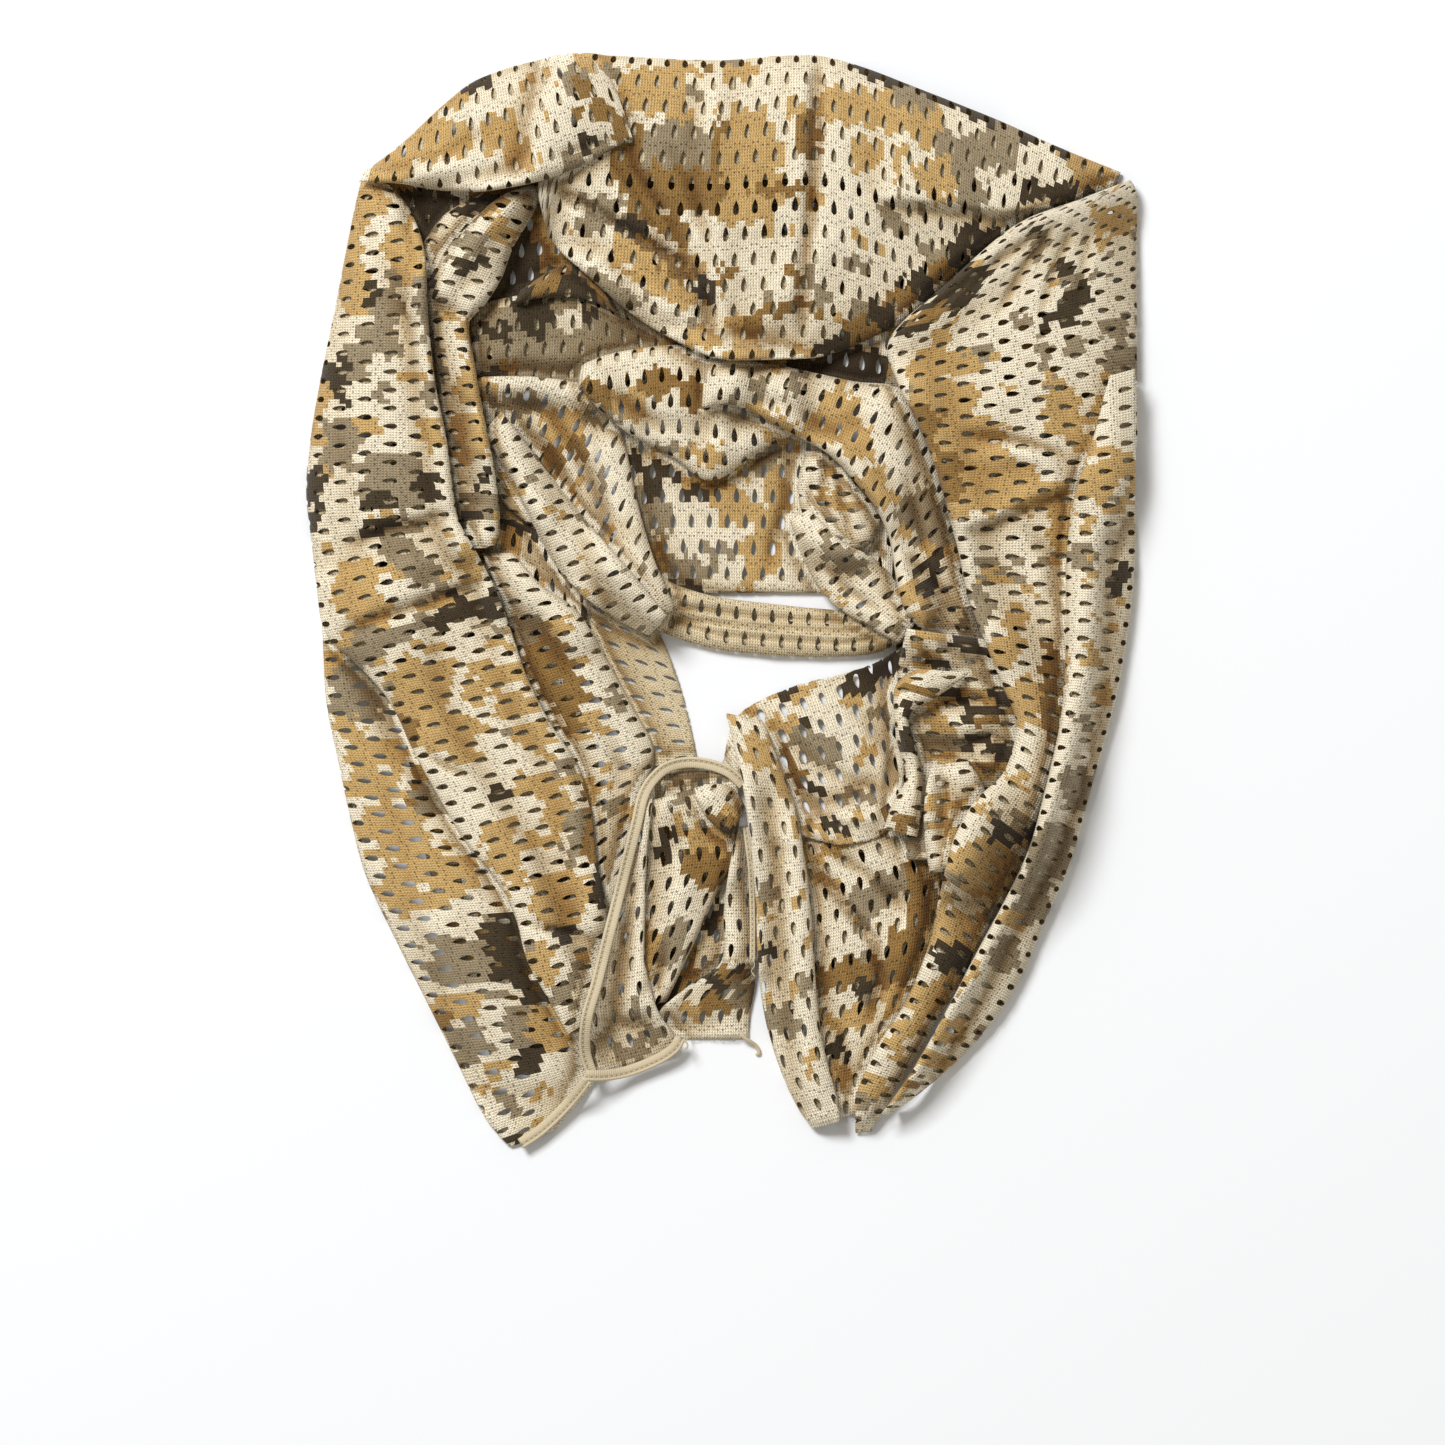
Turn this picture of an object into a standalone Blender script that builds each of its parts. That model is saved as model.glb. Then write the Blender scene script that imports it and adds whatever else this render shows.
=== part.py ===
"""A camouflage mesh veil, the face and neck scarf of a ghillie kit, laid flat in a closed loop.

One perforated knitted panel, gathered and folded on itself. Every fold that can be told apart
is one closed solid here, laid on the folds under it, with the hems as solids of their own.
Metres, +Z up, +Y towards the top of the loop, origin under the middle of the pile.
"""

import math

import bmesh
import bpy
import numpy as np

MM = 0.001
GAP = 0.4 * MM            # clearance between folds that lie on each other
STEP = 17.0 * MM          # longest edge of the faceted folds
CELL = 3.0 * MM           # cell of the map of pile heights
REACH = 6                 # cells by which the map is widened before a fold is laid on it
HALF = 0.306              # half side of the square that the map covers
EDGE = 1.6 * MM           # thickness of a fold at its rim
BOX = 2.4                 # power of a fold's cross-section: 2 is round, more is boxier
TIP = 0.45                # share of its thickness that a fold keeps at its two ends
SLACK = 1.15              # how much longer a fold's rims may be than its middle line
FINE = 6                  # points along a facet's side when it goes on the map

CREAM = (0.77, 0.66, 0.42)
TAN = (0.43, 0.26, 0.09)
TAUPE = (0.27, 0.21, 0.15)
BROWN = (0.07, 0.045, 0.025)
PLAIN = (0.62, 0.48, 0.28)

for thing in list(bpy.data.objects):
    bpy.data.objects.remove(thing)

group = bpy.data.collections.new("mesh_veil")
bpy.context.scene.collection.children.link(group)


def cloth(name, colour):
    """A plain matt material for one node."""
    skin = bpy.data.materials.new(name)
    skin.use_nodes = True
    shader = skin.node_tree.nodes["Principled BSDF"]
    shader.inputs["Base Color"].default_value = (*colour, 1.0)
    shader.inputs["Roughness"].default_value = 0.9
    shader.inputs["Metallic"].default_value = 0.0
    return skin


# ---------------------------------------------------------------- the map of pile heights
count = int(2 * HALF / CELL) + 1
heights = np.zeros((count, count))


def cell_of(x, y):
    """The row and column of the map that hold a point."""
    return int(round((y + HALF) / CELL)), int(round((x + HALF) / CELL))


def widened(grid, reach):
    """Each cell takes the greatest height within reach cells of it."""
    out = grid.copy()
    for dy in range(-reach, reach + 1):
        for dx in range(-reach, reach + 1):
            if dx * dx + dy * dy <= reach * reach + 1:
                out = np.maximum(out, np.roll(np.roll(grid, dy, 0), dx, 1))
    return out


def softened(grid):
    """A 5 by 5 mean, which rounds the steps of the map."""
    total = np.zeros_like(grid)
    for dy in range(-2, 3):
        for dx in range(-2, 3):
            total += np.roll(np.roll(grid, dy, 0), dx, 1)
    return total / 25.0


# ---------------------------------------------------------------- smooth outlines
def along(points, steps):
    """Points on a smooth curve through the given ones, evenly spread by index."""
    p = np.array(points, float)
    ends = np.vstack([2 * p[0] - p[1], p, 2 * p[-1] - p[-2]])
    out = []
    for k in range(steps + 1):
        f = k * (len(p) - 1) / steps
        i = min(int(f), len(p) - 2)
        t = f - i
        a, b, c, d = ends[i], ends[i + 1], ends[i + 2], ends[i + 3]
        out.append(0.5 * (2 * b + (c - a) * t + (2 * a - 5 * b + 4 * c - d) * t * t
                          + (3 * b - a - 3 * c + d) * t ** 3))
    return np.array(out)


def add_object(name, mesh, colour):
    """Puts one finished mesh in the collection as a node."""
    node = bpy.data.objects.new(name, mesh)
    mesh.materials.append(cloth(name, colour))
    group.objects.link(node)
    return node


def fold(name, thick, colour, stations):
    """A fold of cloth lofted through stations of left and right rim points, laid on the pile.

    Each station is left x, left y, right x, right y in millimetres. The fold is thick in the
    middle, thin at its rims, and its underside follows the pile under it with a small gap.
    """
    global heights
    rims = np.array(stations, float) * MM
    middle = 0.5 * (rims[:, :2] + rims[:, 2:])
    length = np.linalg.norm(np.diff(middle, axis=0), axis=1).sum()
    width = np.linalg.norm(rims[:, 2:] - rims[:, :2], axis=1).max()
    rows = max(2, math.ceil(length * SLACK / STEP))
    columns = max(2, math.ceil(width / STEP))
    left = along(rims[:, :2], rows)
    right = along(rims[:, 2:], rows)
    bed = softened(widened(heights, REACH))

    low = np.zeros((rows + 1, columns + 1, 3))
    high = np.zeros((rows + 1, columns + 1, 3))
    for r in range(rows + 1):
        for c in range(columns + 1):
            t = c / columns
            x, y = left[r] * (1 - t) + right[r] * t
            row, column = cell_of(x, y)
            rest = bed[row, column]
            base = rest + GAP if rest > 0 else 0.0
            side = 1 - abs(2 * t - 1) ** BOX
            tip = TIP + (1 - TIP) * math.sin(math.pi * min(r, rows - r) / rows)
            low[r, c] = (x, y, base)
            high[r, c] = (x, y, base + EDGE + (thick * MM - EDGE) * side * tip)

    shape = bmesh.new()
    under = [[shape.verts.new(p) for p in line] for line in low]
    over = [[shape.verts.new(p) for p in line] for line in high]
    for r in range(rows):
        for c in range(columns):
            for net in (under, over):
                shape.faces.new((net[r][c], net[r + 1][c], net[r + 1][c + 1]))
                shape.faces.new((net[r][c], net[r + 1][c + 1], net[r][c + 1]))
    rim = [(r, 0) for r in range(rows)] + [(rows, c) for c in range(columns)]
    rim += [(r, columns) for r in range(rows, 0, -1)] + [(0, c) for c in range(columns, 0, -1)]
    for here, there in zip(rim, rim[1:] + rim[:1]):
        a, b = under[here[0]][here[1]], under[there[0]][there[1]]
        d, c = over[here[0]][here[1]], over[there[0]][there[1]]
        shape.faces.new((a, b, c))
        shape.faces.new((a, c, d))
    bmesh.ops.recalc_face_normals(shape, faces=shape.faces)
    mesh = bpy.data.meshes.new(name)
    shape.to_mesh(mesh)
    shape.free()
    add_object(name, mesh, colour)

    # The top of this fold goes on the map, so that the next fold lies on it.
    for r in range(rows):
        for c in range(columns):
            a, b, d, e = high[r, c], high[r, c + 1], high[r + 1, c], high[r + 1, c + 1]
            top = max(a[2], b[2], d[2], e[2])
            for i in range(FINE + 1):
                for j in range(FINE + 1):
                    s, t = i / FINE, j / FINE
                    spot = (a * (1 - t) + b * t) * (1 - s) + (d * (1 - t) + e * t) * s
                    row, column = cell_of(spot[0], spot[1])
                    heights[row, column] = max(heights[row, column], top)


def flat_layer(name, thick, colour, outline):
    """A hidden flat layer that lies on the ground: a smooth closed outline, extruded."""
    global heights
    closed = outline + [outline[0]]
    smooth = along(closed, 2 * len(outline))[:-1] * MM
    curve = bpy.data.curves.new(name, "CURVE")
    curve.dimensions = "2D"
    curve.fill_mode = "BOTH"
    curve.extrude = 0.5 * thick * MM
    line = curve.splines.new("POLY")
    line.points.add(len(smooth) - 1)
    for point, spot in zip(line.points, smooth):
        point.co = (spot[0], spot[1], 0.0, 1.0)
    line.use_cyclic_u = True
    node = bpy.data.objects.new(name, curve)
    node.location.z = 0.5 * thick * MM
    curve.materials.append(cloth(name, colour))
    group.objects.link(node)
    # Scan lines put the layer on the map of heights.
    for row in range(count):
        y = -HALF + row * CELL
        for column in range(count):
            x = -HALF + column * CELL
            inside = False
            for (xa, ya), (xb, yb) in zip(smooth, np.roll(smooth, -1, axis=0)):
                if (ya > y) != (yb > y) and x < xa + (y - ya) * (xb - xa) / (yb - ya):
                    inside = not inside
            if inside:
                heights[row, column] = max(heights[row, column], thick * MM)


def hem(name, radius, colour, path):
    """A rolled hem: a round bead along a path, laid on the pile."""
    global heights
    bed = softened(widened(heights, 3))
    spots = along(path, 2 * len(path)) * MM
    curve = bpy.data.curves.new(name, "CURVE")
    curve.dimensions = "3D"
    curve.bevel_depth = radius * MM
    curve.bevel_resolution = 1
    curve.use_fill_caps = True
    line = curve.splines.new("POLY")
    line.points.add(len(spots) - 1)
    tops = []
    for x, y in spots:
        row, column = cell_of(x, y)
        tops.append(bed[row, column])
    for i, (point, spot) in enumerate(zip(line.points, spots)):
        near = max(tops[max(0, i - 2):i + 3])
        z = near + GAP + radius * MM
        point.co = (spot[0], spot[1], z, 1.0)
        row, column = cell_of(spot[0], spot[1])
        for dr in (-1, 0, 1):
            for dc in (-1, 0, 1):
                here = heights[row + dr, column + dc]
                heights[row + dr, column + dc] = max(here, z + radius * MM)
    node = bpy.data.objects.new(name, curve)
    curve.materials.append(cloth(name, colour))
    group.objects.link(node)


# ---------------------------------------------------------------- the pile, bottom to top
flat_layer("under_layer_left", 5, TAUPE, [
    (-168, 200), (-128, 204), (-120, 150), (-118, 90), (-114, 30), (-106, -10), (-92, -50),
    (-72, -90), (-68, -140), (-72, -200), (-84, -236), (-112, -232), (-134, -190),
    (-152, -130), (-162, -60), (-168, 0), (-176, 60), (-176, 130)])
flat_layer("under_layer_top", 5, BROWN, [
    (-114, 206), (-122, 240), (-92, 260), (-30, 264), (40, 264), (84, 254), (112, 234),
    (100, 176), (60, 142), (0, 138), (-60, 158), (-108, 160)])
flat_layer("under_layer_right", 5, TAUPE, [
    (120, 168), (150, 184), (178, 170), (182, 100), (180, 30), (172, -40), (160, -96),
    (138, -96), (124, -50), (112, 0), (104, 50), (96, 100), (100, 140)])
flat_layer("under_layer_tail", 5, TAUPE, [
    (50, -128), (96, -124), (132, -112), (152, -112), (136, -150), (108, -200), (84, -238),
    (68, -250), (58, -236), (48, -200), (46, -160)])

fold("reverse_side_strip", 5, PLAIN, [
    (-92, 30, -40, 6), (-80, 0, -27, -25), (-62, -35, -20, -45), (-46, -60, -15, -65),
    (-40, -86, -12, -84), (-44, -108, -16, -102)])
fold("back_panel", 6, CREAM, [
    (-48, 8, -56, 82), (-22, 4, -26, 88), (10, 4, 10, 88), (46, 4, 46, 84), (86, 2, 90, 70)])
fold("back_lower_roll", 8, PLAIN, [
    (-52, 8, -50, 30), (-36, -12, -30, 12), (-8, -23, -6, 3), (22, -27, 22, -1),
    (52, -28, 52, -4), (78, -26, 80, -6), (97, -17, 98, -7)])
fold("back_upper_panel", 6, TAUPE, [
    (-124, 112, -126, 148), (-98, 110, -97, 154), (-70, 106, -68, 160), (-36, 96, -44, 150),
    (0, 96, 0, 132)])
fold("back_left_fold", 7, CREAM, [
    (-120, 88, -122, 112), (-100, 80, -92, 112), (-88, 60, -64, 106), (-74, 40, -50, 84),
    (-58, 22, -42, 50), (-44, 8, -34, 22), (-30, -8, -22, -6)])
fold("neck_small_fold", 7, BROWN, [
    (-104, 148, -100, 156), (-86, 152, -80, 168), (-66, 150, -68, 166), (-50, 142, -56, 152)])
fold("hanging_fold", 7, CREAM, [
    (-72, 106, -70, 118), (-50, 86, -54, 124), (-25, 72, -25, 128), (-5, 60, -5, 126),
    (18, 74, 16, 120), (38, 84, 34, 114)])
fold("right_tail_panel", 9, CREAM, [
    (36, -122, 92, -96), (38, -150, 110, -128), (40, -170, 110, -154), (42, -190, 104, -178),
    (44, -212, 92, -203), (46, -235, 80, -227), (54, -261, 70, -257)])
fold("lower_front_panel", 5, TAN, [
    (28, -112, 0, -80), (44, -119, 8, -57), (64, -122, 35, -43), (84, -114, 58, -37),
    (92, -88, 78, -30), (102, -34, 97, -18)])
fold("cross_fold_low", 5, TAUPE, [
    (-120, 14, -116, 42), (-104, 6, -100, 40), (-84, -4, -84, 32), (-68, -22, -66, 6)])
fold("inner_left_band", 8, CREAM, [
    (-120, 24, -104, 24), (-112, 5, -90, 8), (-106, -15, -72, -5), (-99, -40, -58, -28),
    (-88, -62, -45, -52), (-76, -85, -34, -74), (-70, -110, -38, -95), (-66, -140, -44, -120),
    (-64, -165, -50, -150)])
fold("cross_fold_small", 6, CREAM, [
    (-118, 76, -108, 79), (-116, 62, -100, 62), (-108, 48, -94, 48), (-96, 38, -88, 38)])
fold("cross_fold", 10, CREAM, [
    (-119, 84, -110, 95), (-110, 68, -94, 74), (-98, 46, -78, 53), (-88, 26, -64, 36),
    (-75, 8, -50, 20), (-58, -6, -38, 6), (-36, -18, -26, -9)])
fold("left_inner_under", 6, TAUPE, [
    (-120, 204, -106, 202), (-140, 192, -122, 186), (-152, 172, -136, 168),
    (-150, 156, -140, 154)])
fold("left_inner_roll", 12, CREAM, [
    (-97, 208, -88, 208), (-112, 201, -94, 194), (-128, 186, -104, 177), (-141, 170, -110, 161),
    (-147, 155, -118, 148), (-146, 138, -126, 138), (-144, 120, -123, 118), (-141, 95, -119, 95),
    (-137, 70, -114, 70), (-134, 48, -111, 48), (-131, 34, -111, 34), (-125, 25, -114, 25)])
fold("left_lower_strip", 8, CREAM, [
    (-202, 8, -160, 16), (-200, -15, -155, -12), (-198, -50, -150, -50), (-192, -80, -136, -80),
    (-186, -108, -118, -108), (-178, -138, -100, -135), (-163, -170, -88, -165),
    (-148, -200, -76, -195), (-133, -230, -64, -220), (-119, -258, -62, -238),
    (-106, -274, -84, -266)])
fold("left_outer_fold", 13, CREAM, [
    (-180, 212, -166, 208), (-184, 195, -156, 196), (-189, 170, -148, 174),
    (-195, 140, -146, 140), (-201, 110, -143, 110), (-206, 80, -137, 80),
    (-208, 55, -134, 56), (-206, 35, -131, 40), (-203, 10, -122, 24),
    (-198, -16, -112, 4), (-178, -36, -104, -18), (-165, -52, -97, -38),
    (-154, -75, -86, -60), (-142, -97, -72, -82), (-128, -120, -65, -105),
    (-112, -140, -62, -130), (-103, -158, -58, -150), (-97, -180, -56, -170),
    (-86, -200, -57, -190), (-76, -218, -61, -208)])
fold("ruffle_fold", 8, CREAM, [
    (42, 75, 57, 76), (38, 58, 66, 60), (41, 42, 79, 44), (50, 30, 78, 34), (62, 24, 73, 26)])
fold("ruffle_band", 8, CREAM, [
    (34, 40, 44, 46), (42, 18, 60, 30), (54, 0, 78, 20), (72, -12, 92, 4), (90, -22, 100, -10)])
fold("right_inner_roll", 12, CREAM, [
    (-10, 96, -8, 120), (8, 97, 12, 120), (30, 86, 38, 116), (52, 74, 66, 110), (66, 60, 90, 106),
    (77, 46, 101, 86), (84, 30, 110, 62), (87, 12, 117, 35), (91, -4, 123, 10),
    (99, -14, 130, -14), (106, -22, 138, -30)])
fold("crumple_back", 6, TAN, [
    (92, -14, 138, -20), (88, -36, 148, -38), (90, -60, 156, -60), (96, -84, 158, -86),
    (92, -108, 146, -110), (92, -130, 120, -132)])
fold("crumple_left_fold", 9, CREAM, [
    (97, -34, 124, -36), (87, -42, 108, -48), (86, -56, 94, -57), (88, -72, 97, -73),
    (92, -88, 100, -87), (85, -102, 100, -104), (80, -116, 98, -120)])
fold("crumple_lower_fold", 8, CREAM, [
    (104, -82, 124, -80), (101, -100, 132, -97), (101, -118, 126, -115), (104, -138, 116, -136)])
fold("tail_end_back", 5, TAUPE, [
    (-36, -87, 6, -84), (-38, -105, 9, -100), (-38, -125, 8, -120), (-38, -148, 8, -144),
    (-40, -180, 6, -176), (-46, -208, -4, -206)])
fold("tail_end_fold", 7, CREAM, [
    (-36, -100, -8, -92), (-39, -118, 4, -112), (-39, -134, 8, -128), (-40, -155, -2, -146),
    (-42, -180, -14, -172), (-46, -206, -28, -202)])
fold("frayed_end", 5, CREAM, [
    (9, -112, 14, -111), (4, -132, 16, -132), (1, -156, 17, -156), (0, -180, 17, -180),
    (-16, -192, 17, -192), (-32, -206, 15, -204), (-34, -219, 14, -219)])
fold("tail_end_front", 9, CREAM, [
    (-42, -100, -34, -98), (-48, -128, -37, -126), (-54, -156, -38, -154), (-61, -184, -38, -180),
    (-68, -208, -32, -204), (-68, -226, -24, -216), (-66, -239, -20, -226)])
fold("tail_inner_curl", 6, CREAM, [
    (-14, -98, -8, -91), (-6, -110, 5, -93), (5, -118, 13, -104)])
fold("top_apron", 11, CREAM, [
    (-92, 203, -90, 232), (-85, 180, -75, 271), (-68, 163, -55, 273), (-45, 143, -35, 272),
    (-20, 128, -15, 271), (0, 120, 5, 271), (25, 120, 28, 273), (50, 122, 50, 273),
    (72, 130, 72, 267), (95, 142, 95, 258), (115, 160, 118, 249), (135, 178, 140, 240),
    (155, 190, 162, 230), (177, 199, 184, 221), (198, 208, 201, 213)])
fold("right_outer_panel", 12, CREAM, [
    (178, 200, 205, 211), (146, 187, 208, 203), (112, 158, 208, 184), (84, 131, 208, 158),
    (88, 108, 208, 130), (97, 90, 208, 100), (106, 68, 207, 74), (112, 48, 194, 50),
    (118, 25, 184, 25), (123, 2, 183, 0), (131, -20, 181, -25), (140, -42, 178, -50),
    (147, -62, 172, -74), (141, -85, 164, -98), (126, -100, 156, -122), (115, -120, 146, -142),
    (109, -145, 135, -162), (104, -170, 124, -184), (92, -200, 110, -207), (78, -222, 96, -231),
    (67, -248, 84, -250), (66, -263, 76, -262)])
fold("right_edge_roll", 12, CREAM, [
    (193, 112, 207, 116), (186, 84, 207, 88), (176, 52, 207, 54), (172, 20, 207, 20),
    (172, -10, 204, -12), (171, -40, 199, -42), (168, -65, 193, -66), (161, -95, 184, -98),
    (153, -124, 175, -130), (141, -150, 163, -158), (127, -176, 150, -188),
    (113, -203, 134, -213), (99, -228, 114, -234), (86, -248, 96, -249), (79, -257, 84, -257)])
fold("right_tail_strip", 9, CREAM, [
    (2, -56, 21, -60), (6, -72, 28, -78), (11, -95, 35, -97), (14, -120, 40, -118),
    (17, -150, 44, -145), (18, -180, 46, -172), (21, -205, 48, -200), (27, -228, 51, -222),
    (36, -250, 57, -245), (46, -265, 60, -261)])
fold("top_left_lobe", 13, CREAM, [
    (-181, 209, -179, 214), (-160, 208, -160, 229), (-140, 205, -142, 246),
    (-120, 204, -126, 259), (-100, 207, -110, 266), (-84, 211, -96, 270), (-67, 218, -82, 273),
    (-56, 224, -69, 273), (-48, 228, -58, 264), (-43, 231, -50, 250)])

hem("left_end_hem", 1.6, PLAIN, [
    (13, -90), (5, -83), (-6, -79), (-18, -78), (-29, -81), (-37, -88), (-42, -97), (-45, -110),
    (-50, -130), (-55, -150), (-60, -170), (-65, -190), (-70, -208), (-71, -225),
    (-67, -238)])
hem("end_side_hem", 1.6, PLAIN, [
    (-62, -241), (-54, -240), (-46, -238), (-31, -232), (-22, -226), (-19, -220)])
hem("tail_side_hem", 1.6, PLAIN, [
    (-98, -275), (-90, -268), (-80, -259), (-71, -249), (-67, -244)])
hem("frayed_end_hem", 1.2, PLAIN, [
    (13.5, -113), (16, -133), (17, -156), (17, -180)])
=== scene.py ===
"""Looks of a camouflage mesh veil laid flat as a closed loop with two tails.

The veil is one knitted, perforated cloth. Each fold of it that can be told apart is a sheet here,
cut on the cloth's own lattice of holes, bent over its fold edges and laid on the folds under it.
Lengths in this file are millimetres unless a comment says metres.
"""

import math

import bpy
import numpy as np
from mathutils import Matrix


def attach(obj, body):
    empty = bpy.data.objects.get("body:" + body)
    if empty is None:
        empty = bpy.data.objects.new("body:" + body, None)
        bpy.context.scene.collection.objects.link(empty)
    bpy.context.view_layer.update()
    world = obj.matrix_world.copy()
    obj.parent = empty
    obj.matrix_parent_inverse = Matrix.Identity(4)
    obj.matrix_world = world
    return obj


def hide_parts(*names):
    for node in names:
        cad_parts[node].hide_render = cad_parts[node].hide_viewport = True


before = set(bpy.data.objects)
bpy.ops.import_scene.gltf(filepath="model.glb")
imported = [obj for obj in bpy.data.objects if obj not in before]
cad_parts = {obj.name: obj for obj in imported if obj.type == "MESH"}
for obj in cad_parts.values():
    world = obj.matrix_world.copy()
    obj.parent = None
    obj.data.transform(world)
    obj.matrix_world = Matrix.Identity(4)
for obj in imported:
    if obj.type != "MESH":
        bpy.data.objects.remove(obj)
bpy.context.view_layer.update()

MM = 0.001                # metres in a millimetre
COL = 9.15 / 4            # lattice pitch along a row of holes: four columns to a hole
ROW = 12.8 / 8            # lattice pitch along the holes: eight rows to a hole
CELL = 1.5                # cell of the map of pile heights
HALF = 315.0              # half side of the square that the map covers
TABLE = 64                # side of the tables of random numbers

LENGTH_STEP = 1.5         # step between the cross-sections of a fold
WIDTH_STEP = 0.8          # step across the flat cloth in a fold's table of places
TUCK_POINTS = 16          # points of a cross-section in a tuck
EDGE_POINTS = 7           # in a rounded edge
TOP_POINTS = 44           # and in the top
WIDEST_EDGE = 0.3         # an edge's radius is at most this share of the fold's width
WIDEST_TUCK = 0.45        # a tuck is at most this share of the fold's width
END_EDGE = 0.25           # share of an edge's radius that is left where the fold closes
END_HIGH = 0.12           # share of its height that is left there
SWAY = 1.5                # how far the knit sways in its own plane
REST_GAP = 0.35           # cloth lies this far over the smoothed pile
LEAST_GAP = 0.45          # and at least this far over what is right under it
LEAST_RISE = 1.3          # a crease goes no lower than this over the smoothed pile
RIM_DIP = 0.22            # how far the rim of a hole dips
FADE = 14.0               # length over which a crease fades at its ends
WRINKLES = ((1.7, 30, 70), (0.8, 13, 71), (0.28, 5, 72))      # depth, size and own seed
STRAY_SQUARES = 0.08      # share of the print's squares that keep out of their block of four

RIB = COL * 4 / 7         # ribs run along the holes, seven to a hole
STITCH = 1.55             # length of one stitch along a rib
PINHOLE = 0.52            # radius of a pinhole
PINHOLE_SHIFT = 0.85      # pinholes lie this far off the middle of two rows, pair by pair
HEM_RIB = 1.15            # pitch of the ribs across a hem
TURN = 2 * math.pi

# TAN_IN_SHADE is tan darkened as painted shade, for grooves, edges and recesses; the other colours are
# the print's and the plain back's.
CREAM, TAN, TAUPE, DARK, TAN_IN_SHADE, PLAIN = range(6)
PALETTE = np.array([
    (0.88, 0.79, 0.61),
    (0.585, 0.385, 0.15),
    (0.335, 0.265, 0.165),
    (0.062, 0.043, 0.021),
    (0.30, 0.172, 0.05),
    (0.74, 0.615, 0.40),
])
SPARSE = [(TAN, 0.07), (TAUPE, 0.04)]                        # scattered colours and their shares
# Mix for the hidden layers under the folds: print colours weighted dark, as painted shade.
SHADE_MIX = [(TAN, 0.25), (TAN_IN_SHADE, 0.35), (TAUPE, 0.2), (DARK, 0.08)]
HIDDEN = dict(high=3.5, edge=0.9, square=5, tuck=(4, 4), mix=SHADE_MIX, rough=0.6, nest=2)


# ---------------------------------------------------------------- noise and curves
def noise(x, y, seed):
    """Smooth value noise from 0 to 1 with a grid of one unit."""
    table = np.random.RandomState(seed).rand(TABLE, TABLE)
    xi = np.floor(x).astype(int)
    yi = np.floor(y).astype(int)
    fx = x - xi
    fy = y - yi
    fx = fx * fx * (3 - 2 * fx)
    fy = fy * fy * (3 - 2 * fy)
    near, far = xi % TABLE, (xi + 1) % TABLE
    low, high = (table[row, near] * (1 - fx) + table[row, far] * fx
                 for row in (yi % TABLE, (yi + 1) % TABLE))
    return low * (1 - fy) + high * fy


def rail(points, at):
    """A smooth curve through points, read at fractional indexes."""
    p = np.asarray(points, float)
    if p.ndim == 1:
        p = p[:, None]
    ends = np.vstack([2 * p[0] - p[1], p, 2 * p[-1] - p[-2]])
    i = np.clip(np.floor(at).astype(int), 0, len(p) - 2)
    t = (at - i)[:, None]
    a, b, c, d = ends[i], ends[i + 1], ends[i + 2], ends[i + 3]
    return 0.5 * (2 * b + (c - a) * t + (2 * a - 5 * b + 4 * c - d) * t * t
                  + (3 * b - a - 3 * c + d) * t ** 3)


def run_of(line):
    """How far along a line each of its points is."""
    return np.concatenate([[0], np.cumsum(np.linalg.norm(np.diff(line, axis=0), axis=1))])


def from_line(x, y, line):
    """Distance from points to a broken line, signed + on its left, and the fade at its ends."""
    best = np.full(x.shape, 1e9)
    sign = np.ones(x.shape)
    along = np.zeros(x.shape)
    p = np.asarray(line, float)
    run = 0.0
    total = np.linalg.norm(np.diff(p, axis=0), axis=1).sum()
    for a, b in zip(p[:-1], p[1:]):
        d = b - a
        size = math.hypot(*d)
        t = np.clip(((x - a[0]) * d[0] + (y - a[1]) * d[1]) / size ** 2, 0, 1)
        gap = np.hypot(x - a[0] - t * d[0], y - a[1] - t * d[1])
        near = gap < best
        best = np.where(near, gap, best)
        side = d[0] * (y - a[1]) - d[1] * (x - a[0])
        sign = np.where(near, np.where(side >= 0, 1.0, -1.0), sign)
        along = np.where(near, run + t * size, along)
        run += size
    fade = np.clip(np.minimum(along, total - along) / FADE, 0, 1)
    return best * sign, fade


# ---------------------------------------------------------------- the map of pile heights
cells = int(2 * HALF / CELL) + 1
pile = np.zeros((cells, cells))


def read(grid, x, y):
    """The map between its cells."""
    fx = np.clip((x + HALF) / CELL, 0, cells - 1.001)
    fy = np.clip((y + HALF) / CELL, 0, cells - 1.001)
    i = fx.astype(int)
    j = fy.astype(int)
    a = fx - i
    b = fy - j
    return ((grid[j, i] * (1 - a) + grid[j, i + 1] * a) * (1 - b)
            + (grid[j + 1, i] * (1 - a) + grid[j + 1, i + 1] * a) * b)


def widen(grid, reach):
    """The greatest height within a square of reach cells."""
    out = grid
    for axis in (0, 1):
        here = out.copy()
        for k in range(1, reach + 1):
            here = np.maximum(here, np.maximum(np.roll(out, k, axis), np.roll(out, -k, axis)))
        out = here
    return out


def soften(grid, sigma):
    """A Gaussian blur of sigma cells."""
    reach = int(3 * sigma)
    weights = np.exp(-0.5 * (np.arange(-reach, reach + 1) / sigma) ** 2)
    weights /= weights.sum()
    out = grid
    for axis in (0, 1):
        here = np.zeros_like(out)
        for k, w in zip(range(-reach, reach + 1), weights):
            here += w * np.roll(out, k, axis)
        out = here
    return out


def heap(points):
    """Puts points on the map, each over the cells round it."""
    x, y, z = points.reshape(-1, 3).T
    i = np.round((x + HALF) / CELL).astype(int)
    j = np.round((y + HALF) / CELL).astype(int)
    for di in (-1, 0, 1):
        for dj in (-1, 0, 1):
            np.maximum.at(pile, (j + dj, i + di), z)


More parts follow.
